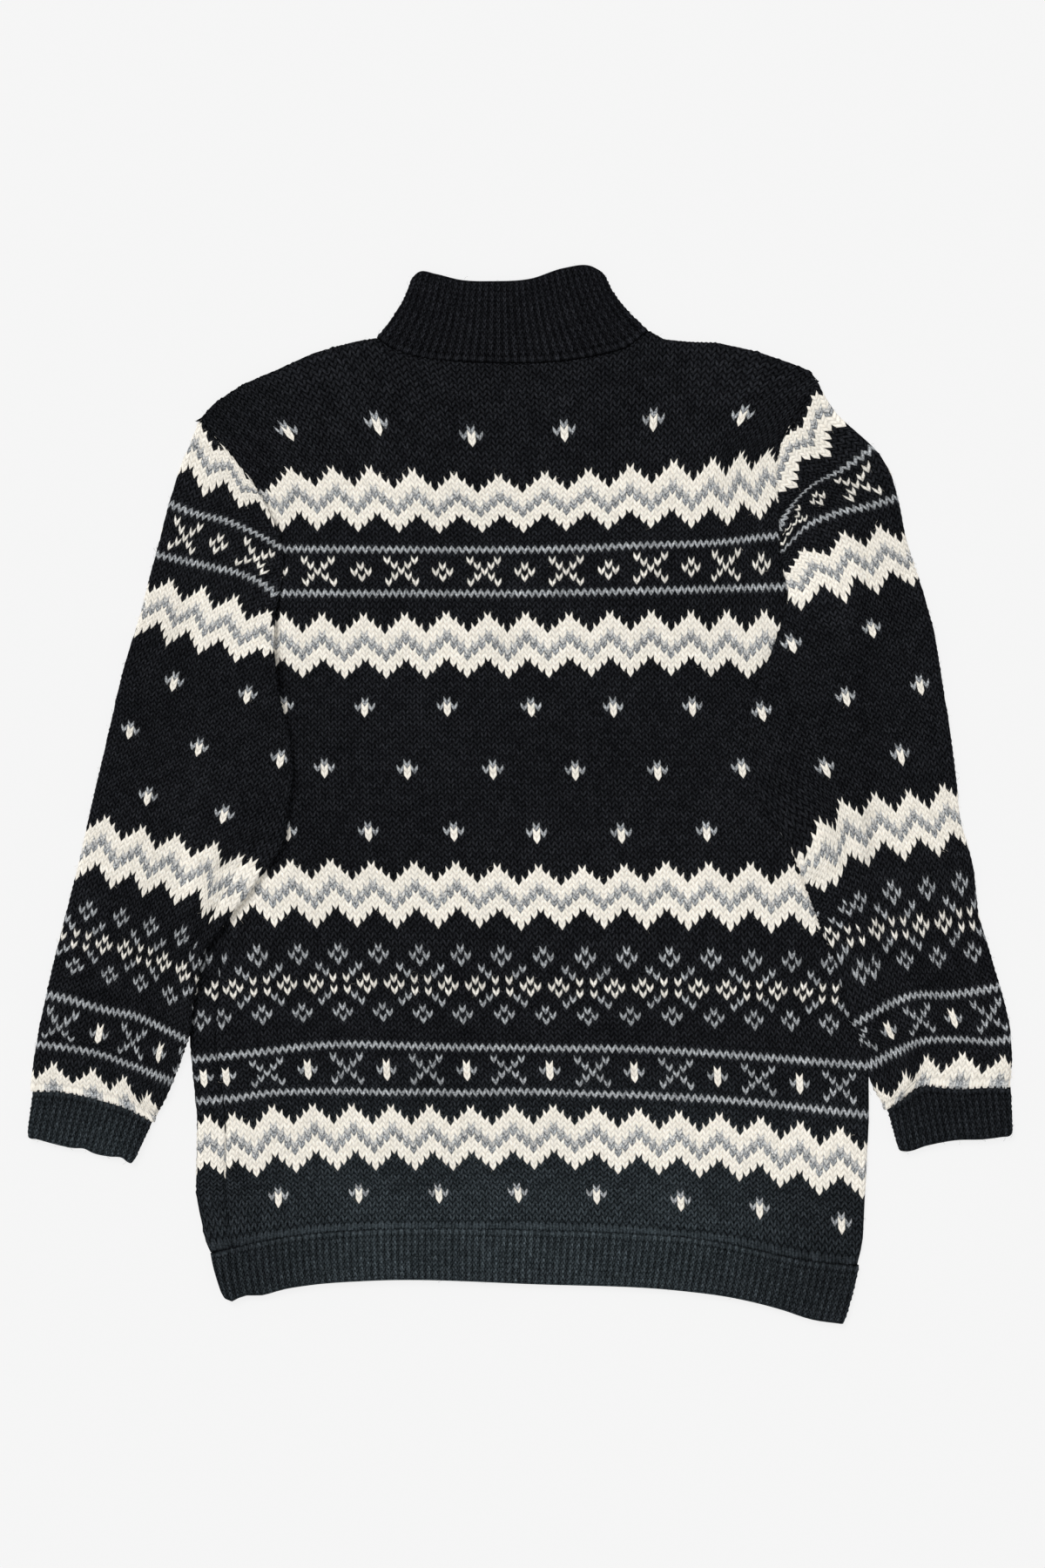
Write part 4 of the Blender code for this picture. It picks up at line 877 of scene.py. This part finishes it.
def backSurface(wales, row):
    flat = bodyFabric.row(wales, row)
    x, y = flat[:, 0].copy(), flat[:, 1].copy()
    r = wall["fold"]
    right = sideAt(y, 3)
    wraps = y < wall["tubeBelow"]
    planar, z, nz = foldRight(np.where(wraps, x, np.minimum(x, right - r)), right, r)
    beyond = (x - (right - r)) - math.pi * r
    inside = np.where(wraps, beyond < wall["underRoll"] - r, x < right + skin["allowance"])
    under = wraps & (beyond > wall["underRoll"] - r)
    planar = np.where(under, right - wall["underRoll"], planar)
    # at the armholes a seam allowance runs on beneath the sleeve
    planar = np.where(wraps, planar, np.minimum(x, right + skin["allowance"]))
    y = np.where(wraps & (x > right - r), np.interp(planar, x, y), y)
    left = sideAt(y, 2) + wall["seamGap"]
    allowance = np.where(y > wall["sleeveAbove"], skin["allowance"], 0)
    inside &= planar > left - allowance
    planar = np.maximum(planar, left - allowance)
    beneath = np.maximum(left - planar, np.where(wraps, 0, planar - right))
    top = topAt(planar, backNeck) - wall["seamGap"]
    inside &= y < top
    y = np.minimum(y, top)
    up = nz > 0
    dip = edgeDip(planar - left) + edgeDip(top - y) + np.where(wraps, 0, edgeDip(right - planar))
    dip = dip - skin["allowanceDrop"] * np.clip(beneath, 0, 1)
    uneven = undulate(planar, y, skin["unevenness"]["body"])
    lift = np.where(up, creaseAt(planar, y, creases["body"]) + uneven, 0)
    hidden = smoothstep((sleeveCover(planar, y) + 4) / 10)
    lift = lift * (1 - hidden) * smoothstep((right - planar) / 20 + 0.2)
    z = z - skin["sink"] * np.where(up, 1, 0) + np.where(up, dip + lift, 0)
    fine = (sleeveCover(planar, y) < skin["clear"]) & (nz > skin["facing"])
    return np.stack([planar, y, np.maximum(z, lowest)], 1), inside, fine


frontLook = {
    "start": 12.9,        # its first wale is that far round the left fold
    "wale": 5.62,         # width of a stitch
    "fineFrom": 0.6,      # stitches are cut finely above this height
    "fineBelow": -60,     # and below this y, on the strip that shows
    "halfTurn": 3.1,      # round the fold by this angle, the knit lies on the visible side
}


def frontSurface(wales, row):
    # wale 0 is the one on the strip that is rolled onto the visible side
    r = wall["fold"]
    guide = bodyFabric.row(np.arange(-48.0, 70.0, 2.0), row)
    y = np.full(len(wales), guide[20, 1])
    # the fold depends on y, and y on where the fold puts each wale, so both are found in turns
    for turns in range(3):
        left, right, seam = sideAt(y, 1), sideAt(y, 3), sideAt(y, 2)
        run = left - frontLook["start"] + wales * frontLook["wale"]
        wraps = y < wall["tubeBelow"]
        s = np.maximum(left + r - run, 0)
        turn = np.minimum(s / r, math.pi)
        planar = np.where(s > 0, left + r - r * np.sin(turn) + np.maximum(s - math.pi * r, 0), run)
        y = np.interp(planar, guide[:, 0], guide[:, 1])
    over = turn > frontLook["halfTurn"]
    inside = np.where(wraps, planar < np.where(over, seam, 1e3), run > left)
    planar = np.where(wraps & over, np.minimum(planar, seam - wall["seamGap"]), planar)
    planar = np.where(wraps, planar, np.maximum(run, left + wall["seamGap"]))
    z = np.where(wraps, r - r * np.cos(turn), 0)
    limit = np.where(wraps, right - wall["underRoll"] - 2 * wall["seamGap"], right - wall["seamGap"])
    inside &= (planar < limit)
    planar = np.minimum(planar, limit)
    top = topAt(planar, frontNeck) - wall["seamGap"]
    inside &= y < top
    y = np.minimum(y, top)
    up = z > r
    z = z - skin["sink"] * up + np.where(up, edgeDip(seam - planar), 0)
    fine = (z > frontLook["fineFrom"]) & (y < frontLook["fineBelow"])
    return np.stack([planar, y, np.maximum(z, lowest)], 1), inside, fine


blackCorner = {"left": -206, "low": 253, "high": 300}


def bodyStep(x, y):
    # only the black ground shows where the back runs in under the left sleeve's seam
    hidden = x < blackCorner["left"] and blackCorner["low"] < y < blackCorner["high"]
    return None if hidden else 0


print("knitting the body")
backKnit = knitUp(knitMesh("backKnit", (-40, 62), (0, 156), backSurface, bodyStep))
frontKnit = knitUp(knitMesh("frontKnit", (-8, 98), (0, 152), frontSurface))


# y and x along the edges of each sleeve, and y and how high it rests on the body
sleeveSides = {
    "left": {
        "tubeBelow": 100,      # below this y the inner edge is a fold, above it the armhole's seam
        "outer": [(305.5, -266.5), (297, -270), (287, -274), (275, -279), (261, -284), (245, -289),
                  (226, -294), (206, -299), (184, -305), (151, -313), (111, -326), (83, -333), (56, -339),
                  (-4, -353), (-50, -363), (-98, -375), (-141, -386), (-163, -391), (-190, -397),
                  (-220, -402), (-246, -405)],
        "inner": [(306.9, -263), (293, -250), (274, -233), (255, -219), (237, -209), (215, -198),
                  (192, -195), (171, -197), (150, -202), (121, -203), (81, -199), (51, -191), (22, -187),
                  (-39, -194), (-86, -228), (-128, -261), (-172, -270), (-195, -272), (-220, -281),
                  (-246, -291), (-267, -302)],
        "lift": [(306, 0), (215, 0), (188, 0.5), (168, 2), (136, 4.5), (96, 7.2), (-205, 7.2), (-228, 3.6),
                 (-250, 0)]},
    "right": {
        "tubeBelow": 160,
        "outer": [(338.5, 246.5), (325, 254), (308, 268), (296, 282), (283, 296), (264, 307), (240, 313),
                  (213, 318), (187, 326), (170, 332), (135, 342), (90, 349), (53, 355), (13, 360),
                  (-20, 363), (-58, 374), (-98, 378), (-128, 387), (-168, 399), (-195, 405), (-220, 406),
                  (-243, 404)],
        "inner": [(340.1, 243), (326, 236), (304, 221), (286, 214), (265, 211), (239, 213), (211, 214),
                  (189, 216), (167, 221), (150, 219), (112, 205), (65, 188), (30, 187), (-8, 200),
                  (-41, 222), (-74, 235), (-112, 249), (-141, 262), (-182, 272), (-210, 283), (-236, 289),
                  (-257, 301)],
        "lift": [(340, 0), (250, 0), (226, 0.5), (200, 2), (178, 4.5), (160, 7.2), (-190, 7.2), (-212, 3.6),
                 (-240, 0)]}}


def crossing(run, past):
    # how far along the run past turns from less than 0 to more
    for k in range(len(past) - 1):
        if past[k] < 0 <= past[k + 1]:
            return run[k] + (run[k + 1] - run[k]) * (-past[k]) / (past[k + 1] - past[k])
    return None


def sleeveSurface(side):
    facts = sleeveSides[side]
    outer = np.array(facts["outer"][::-1], float)
    inner = np.array(facts["inner"][::-1], float)
    rise = np.array(facts["lift"][::-1], float)
    sign = -1 if side == "left" else 1      # towards the outer edge
    fabric = Fabric(leftSleeveKnit if side == "left" else rightSleeveKnit)

    def surface(wales, row):
        flat = fabric.row(wales, row)
        step = np.hypot(*np.diff(flat, axis=0).T)
        run = np.concatenate([[0], np.cumsum(step)])
        # crossings of this row with the inner and outer edges
        pastInner = (flat[:, 0] - np.interp(flat[:, 1], inner[:, 0], inner[:, 1])) * sign
        pastOuter = (flat[:, 0] - np.interp(flat[:, 1], outer[:, 0], outer[:, 1])) * sign
        order = slice(None) if sign > 0 else slice(None, None, -1)
        g, a, b = run[order], pastInner[order], pastOuter[order]
        if sign < 0:
            g = g[0] - g
        gIn, gOut = crossing(g, a), crossing(g, b)
        track = flat[order]
        r = wall["fold"]
        along = run if sign > 0 else run[-1] - run
        if gIn is None or gOut is None or gOut - gIn < skin["leastRow"]:
            y = np.clip(flat[:, 1], inner[0, 0], inner[-1, 0])
            x = np.interp(y, inner[:, 0], inner[:, 1])
            z = np.full(len(x), 2 * r - skin["sink"] - skin["edgeDip"])
            return np.stack([x, y, z], 1), np.zeros(len(x), bool), np.ones(len(x), bool)
        w = along - gIn
        full = gOut - gIn
        planar, z, nz = foldRight(w, full, r)
        middleY = np.interp(gIn + full / 2, g, track[:, 1])
        tube = middleY < facts["tubeBelow"]
        inside = np.ones(len(w), bool)
        if tube:
            turn = np.clip((r - planar) / r, 0, math.pi / 2)
            closeTo = planar < r
            inside &= planar > r - r * math.pi / 2
            z = np.where(closeTo, r + np.sign(nz) * r * np.cos(turn), z)
            planar = np.where(closeTo, r - r * np.sin(turn), planar)
        else:
            inside &= planar > 0
            planar = np.maximum(planar, wall["seamGap"])
        at = gIn + planar
        x = np.interp(at, g, track[:, 0])
        y = np.interp(at, g, track[:, 1])
        # the body's folded edge is followed up to where the armhole begins
        fold = sideAt(np.minimum(y, wall["sleeveAbove"]), 1 if side == "left" else 3)
        ramp = smoothstep(((fold - x) * sign + wall["ramp"]) / wall["ramp"])
        base = np.interp(y, rise[:, 0], rise[:, 1]) * ramp
        up = nz > 0.02
        lift = creaseAt(x, y, creases[side]) + undulate(x + 200, y, skin["unevenness"]["sleeve"])
        lift = lift * smoothstep(planar / 12 + 0.1) * smoothstep((full - planar) / 16)
        z = z + base - np.where(up, skin["sink"], 0) + np.where(up, lift, 0)
        if not tube:
            z = z + np.where(up, edgeDip(planar), 0)
        fine = nz > -0.6
        return np.stack([x, y, np.maximum(z, base + lowest)], 1), inside, fine

    return surface


# the sleeve's own seam, rolled up a little onto the side that shows: past it the knit meets out of step
underarmSeams = {
    "left": [(-160, -271), (-123.5, -268.2), (-87.5, -247.3), (-60, -231.5), (-42, -216)],
    "right": [(-172, 272), (-143, 291), (-130, 286.2), (-119.9, 283.3), (-109, 280.4), (-80, 262),
              (-50, 232)]}

# where the inner edge of a sleeve turns under: y from, y to and how far in from the edge only black shows
blackEdges = {"left": [(20, 118, 5), (138, 176, 3)], "right": [(-30, 34, 6)]}


def sleeveStep(side):
    # how many wales the knit is out of step here, or None where only the black ground shows
    line = np.array(underarmSeams[side], float)
    edge = np.array(sleeveSides[side]["inner"][::-1], float)

    def step(x, y):
        inward = (np.interp(y, edge[:, 0], edge[:, 1]) - x) * (1 if side == "left" else -1)
        for low, high, depth in blackEdges[side]:
            if low < y < high and inward < depth:
                return None
        if line[0, 0] < y < line[-1, 0]:
            past = x - np.interp(y, line[:, 0], line[:, 1])
            if side == "left" and past > 0:
                return 4
            if side == "right" and past < 0:
                return -4
        return 0

    return step


def sleeveKnit(side, wales):
    return knitUp(knitMesh(side + "SleeveKnit", wales, (16, 134), sleeveSurface(side), sleeveStep(side)))


print("knitting the sleeves")
leftKnit = sleeveKnit("left", (-48, 26))
rightKnit = sleeveKnit("right", (-26, 50))


ribLook = {
    "height": 1.1, "hemHeight": 0.8,     # how deep the furrows are
    "wall": 3.0, "rim": 1.5,             # thickness and the free edge's radius
    "rimTurns": (50, 90, 130, 180),      # degrees round the free edge
    "stitch": 0.0008,                    # height of a stitch, in m
    "sunken": 0.7, "sunkenTo": 0.2,      # the rib starts that much lower, over this share of its length
    "spans": 80,                         # parts of its edges
}


def roundTube(w, width, r):
    # w runs over the top of a flattened tube, round its right fold, back beneath it and up the left fold;
    # gives the place across the tube and its normal's two parts
    quarter, level = math.pi * r / 2, width - 2 * r
    top = w - quarter
    bottom = top - level - math.pi * r
    turnLeft = np.clip(-top / r, 0, math.pi / 2)
    turnRight = np.clip((top - level) / r, 0, math.pi)
    turnBack = np.clip((bottom - level) / r, 0, math.pi / 2)
    onLeft, onRight, under, onBack = w < quarter, top > level, bottom > 0, bottom > level
    flat = np.where(onLeft, r - r * np.sin(turnLeft), r + top)
    flat = np.where(onRight, width - r + r * np.sin(turnRight), flat)
    flat = np.where(under, width - r - bottom, flat)
    flat = np.where(onBack, r - r * np.sin(turnBack), flat)
    nz, nx = np.where(onLeft, np.cos(turnLeft), 1.0), np.where(onLeft, -np.sin(turnLeft), 0.0)
    nz, nx = np.where(onRight, np.cos(turnRight), nz), np.where(onRight, np.sin(turnRight), nx)
    nz, nx = np.where(onBack, -np.cos(turnBack), nz), np.where(onBack, -np.sin(turnBack), nx)
    return flat, nx, nz


def ribPiece(name, edge, free, ribs, rows, under=None, span=None, bow=(0, 0), fineUnder=True,
             deep=ribLook["height"]):
    # a flattened tube of one-by-one rib: knit wales stand over purl grooves, and the free edge turns in;
    # edge is its joined edge and free the other, and under gives both for the lower layer where they differ
    wales = ribs * 2
    edges = np.arange(-0.5, wales - 0.49, 0.5)
    isEdge = np.abs(edges - np.round(edges)) > 0.25
    closed = span is None
    if closed:
        edges, isEdge = edges[:-1], isEdge[:-1]
    r = wall["fold"]
    spans = ribLook["spans"]
    edgeUnder, freeUnder = (alongLine(line, spans + 1) for line in under or (edge, free))
    edge, free = alongLine(edge, spans + 1), alongLine(free, spans + 1)

    def ring(t, depth, out=0.0):
        # points at share t from the joined to the free edge, depth below the outer face
        swell = np.sin(math.pi * t)
        upper = (1 - t) * edge + t * free
        lower = (1 - t) * edgeUnder + t * freeUnder
        for line in (upper, lower):
            line[:, 0] += swell * np.linspace(bow[0], bow[1], spans + 1)
        width = np.hypot(*(upper[-1] - upper[0]))
        total = 2 * (width - 2 * r) + 2 * math.pi * r
        start, end = span(width, r) if span else (0.0, total)
        w = start + (end - start) * (edges + 0.5) / wales
        w = np.mod(w + 1e-9, total) if closed else np.where(w > total, w - total, w)
        flat, nx, nz = roundTube(w, width, r)
        share = np.clip(flat / width, 0, 1) * spans
        k = np.clip(share.astype(int), 0, spans - 1)
        f = (share - k)[:, None]
        above, below = (line[k] * (1 - f) + line[k + 1] * f for line in (upper, lower))
        line = np.where((nz > -0.02)[:, None], above, below)
        ahead = (free - edge)[k]
        ahead = ahead / np.hypot(ahead[:, 0], ahead[:, 1])[:, None]
        acrossWay = upper[-1] - upper[0]
        acrossWay = acrossWay / np.hypot(*acrossWay)
        normal = np.stack([nx * acrossWay[0], nx * acrossWay[1], nz], 1)
        # only the outer face has furrows
        wave = 0.5 + 0.5 * np.cos(math.pi * edges)
        sunk = depth + (1 - wave) * deep * (depth <= 0.01)
        put = np.concatenate([line, (r + r * nz)[:, None]], 1) - normal * sunk[:, None]
        put[:, :2] += ahead * out
        if t < ribLook["sunkenTo"]:
            # the first row is drawn down to the knit's own edge
            put[:, 2] -= np.where(nz > 0, ribLook["sunken"] * (1 - smoothstep(t / ribLook["sunkenTo"])), 0)
        put[:, 2] = np.maximum(put[:, 2], lowest)
        return put

    length = np.hypot(*(free - edge)[spans // 2])
    lastT = 1 - ribLook["rim"] / length
    layers = []
    for row in range(rows + 1):
        low = ring(lastT * row / rows, 0)
        high = ring(lastT * min(row + skin["legRise"] * (row < rows), rows) / rows, 0)
        layers.append(np.where(isEdge[:, None], high, low) if row else low)
    for angle in ribLook["rimTurns"]:
        a = math.radians(angle)
        layers.append(ring(lastT, ribLook["rim"] * (1 - math.cos(a)) + 0.02, ribLook["rim"] * math.sin(a)))
    for t in (0.5, 0.0):
        layers.append(ring(lastT * t, ribLook["wall"]))
    count = len(edges)
    points = np.array(layers).reshape(-1, 3)
    # how far each wale lies in a furrow, which the rib's material turns into painted shade
    paintedFurrowShade = 0.5 - 0.5 * np.cos(math.pi * edges)
    tags = np.array([np.stack([edges, np.full(count, float(i)), paintedFurrowShade if i <= rows else paintedFurrowShade * 0.5], 1)
                     for i in range(len(layers))])
    raised = np.repeat([1.0 if i < rows else 0.0 for i in range(len(layers))], count)
    faces = []
    for i in range(len(layers)):
        nextRow = (i + 1) % len(layers)
        for j in range(count if closed else count - 1):
            k = (j + 1) % count
            faces.append([i * count + j, i * count + k, nextRow * count + k, nextRow * count + j])
    yarns, fineFaces = [0] * len(faces), [fineUnder] * len(faces)
    piece = buildPiece(name, points, faces, yarns, fineFaces, tags.reshape(-1, 3), raised)
    made = bmesh.new()
    made.from_mesh(piece.data)
    openEdges = [e for e in made.edges if e.is_boundary]
    if openEdges:
        bmesh.ops.holes_fill(made, edges=openEdges, sides=0)
    bmesh.ops.recalc_face_normals(made, faces=made.faces)
    made.to_mesh(piece.data)
    made.free()
    return knitUp(piece, ground=ribWool, height=ribLook["stitch"])


hemEdge = [(-247.5, -410), (-245, -414.5), (-238, -418), (-231.5, -414.7), (-222.5, -412.6), (-216, -413.4),
           (-209.5, -412.1), (-196, -408.2), (-175.5, -404.8), (-125, -401), (16, -404), (129, -409),
           (175, -415), (216, -425), (240, -433), (267, -437)]
seamIn = 17.5      # the left seam's distance from the left fold
gap = 2 * wall["seamGap"]


def hemBackSpan(width, r):
    quarter = math.pi * r / 2
    return quarter + seamIn - r, quarter + (width - 2 * r) + math.pi * r + (wall["underRoll"] - r)


def hemFrontSpan(width, r):
    total = 2 * (width - 2 * r) + 2 * math.pi * r
    start, end = hemBackSpan(width, r)
    return end + gap, total + start - gap


print("knitting the ribs")
hemJoin = [(x, y - gap) for x, y in ribLine]
hemRib = {"bow": (-1, 1), "deep": ribLook["hemHeight"]}
hemBackRib = ribPiece("hemBackRib", hemJoin, hemEdge, 96, 10, span=hemBackSpan, **hemRib)
hemFrontRib = ribPiece("hemFrontRib", hemJoin, hemEdge, 90, 10, span=hemFrontSpan, fineUnder=False, **hemRib)

neckLine = [(-119, 377.3), (-106, 368.3), (-85, 361.3), (-41, 357.3), (2, 356.3), (38, 358.3), (67, 363.3),
            (88, 369.3), (106, 383.3)]
neckLineFront = [(-119, 377.3), (-100, 350.3), (-60, 331.3), (-5, 324.3), (50, 332.3), (88, 353.3),
                 (106, 383.3)]
collarTop = [(-89, 428), (-83, 432), (-70, 430), (-49, 425), (-23, 424), (8, 426), (36, 435), (57, 437),
             (69, 431)]
collarTopFront = [(-89, 428), (-50, 402), (-8, 393), (35, 403), (69, 431)]
collarRib = ribPiece("collarRib", neckLine, collarTop, 68, 15, under=(neckLineFront, collarTopFront),
                     bow=(4, -5))

leftCuffLine = [(-402.1, -243.4), (-374.9, -244.6), (-346.4, -250.8), (-324.1, -258.1), (-303.5, -268.6)]
leftCuffEnd = [(-407, -279.5), (-406, -282.5), (-399.5, -284), (-385.5, -288), (-369, -291.5), (-360, -292),
               (-353, -295.5), (-339, -298.5), (-328.5, -299.5), (-324, -303), (-321, -304),
               (-318.5, -301.5)]
rightCuffLine = [(302.8, -258.1), (312, -252.4), (330.4, -239.8), (361.4, -241.4), (388.9, -240.3),
                 (405, -241.4)]
rightCuffEnd = [(311.5, -289.5), (313, -293), (317, -294), (336, -289.5), (360, -285), (383, -284.2),
                (397, -282.3), (404.5, -281), (407, -278.5)]
leftCuffRib = ribPiece("leftCuffRib", leftCuffLine, leftCuffEnd, 40, 9)
rightCuffRib = ribPiece("rightCuffRib", rightCuffLine, rightCuffEnd, 40, 9)

print("brushing up the fuzz")
fuzzed = {
    "backFuzz": backKnit, "leftFuzz": leftKnit, "rightFuzz": rightKnit, "collarFuzz": collarRib,
    "hemFuzz": hemBackRib, "leftCuffFuzz": leftCuffRib, "rightCuffFuzz": rightCuffRib}
for name, piece in fuzzed.items():
    fuzz = fuzzOn(piece, name)
    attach(fuzz, "root")

pieces = {
    "back_panel": (backKnit, "stranded_knit"), "front_panel": (frontKnit, "stranded_knit"),
    "sleeve_left": (leftKnit, "stranded_knit"), "sleeve_right": (rightKnit, "stranded_knit"),
    "hem_rib_back": (hemBackRib, "black_rib"), "hem_rib_front": (hemFrontRib, "black_rib"),
    "collar": (collarRib, "black_rib"), "cuff_left": (leftCuffRib, "black_rib"),
    "cuff_right": (rightCuffRib, "black_rib")}
for node, (piece, finish) in pieces.items():
    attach(piece, "root")
    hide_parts(node)
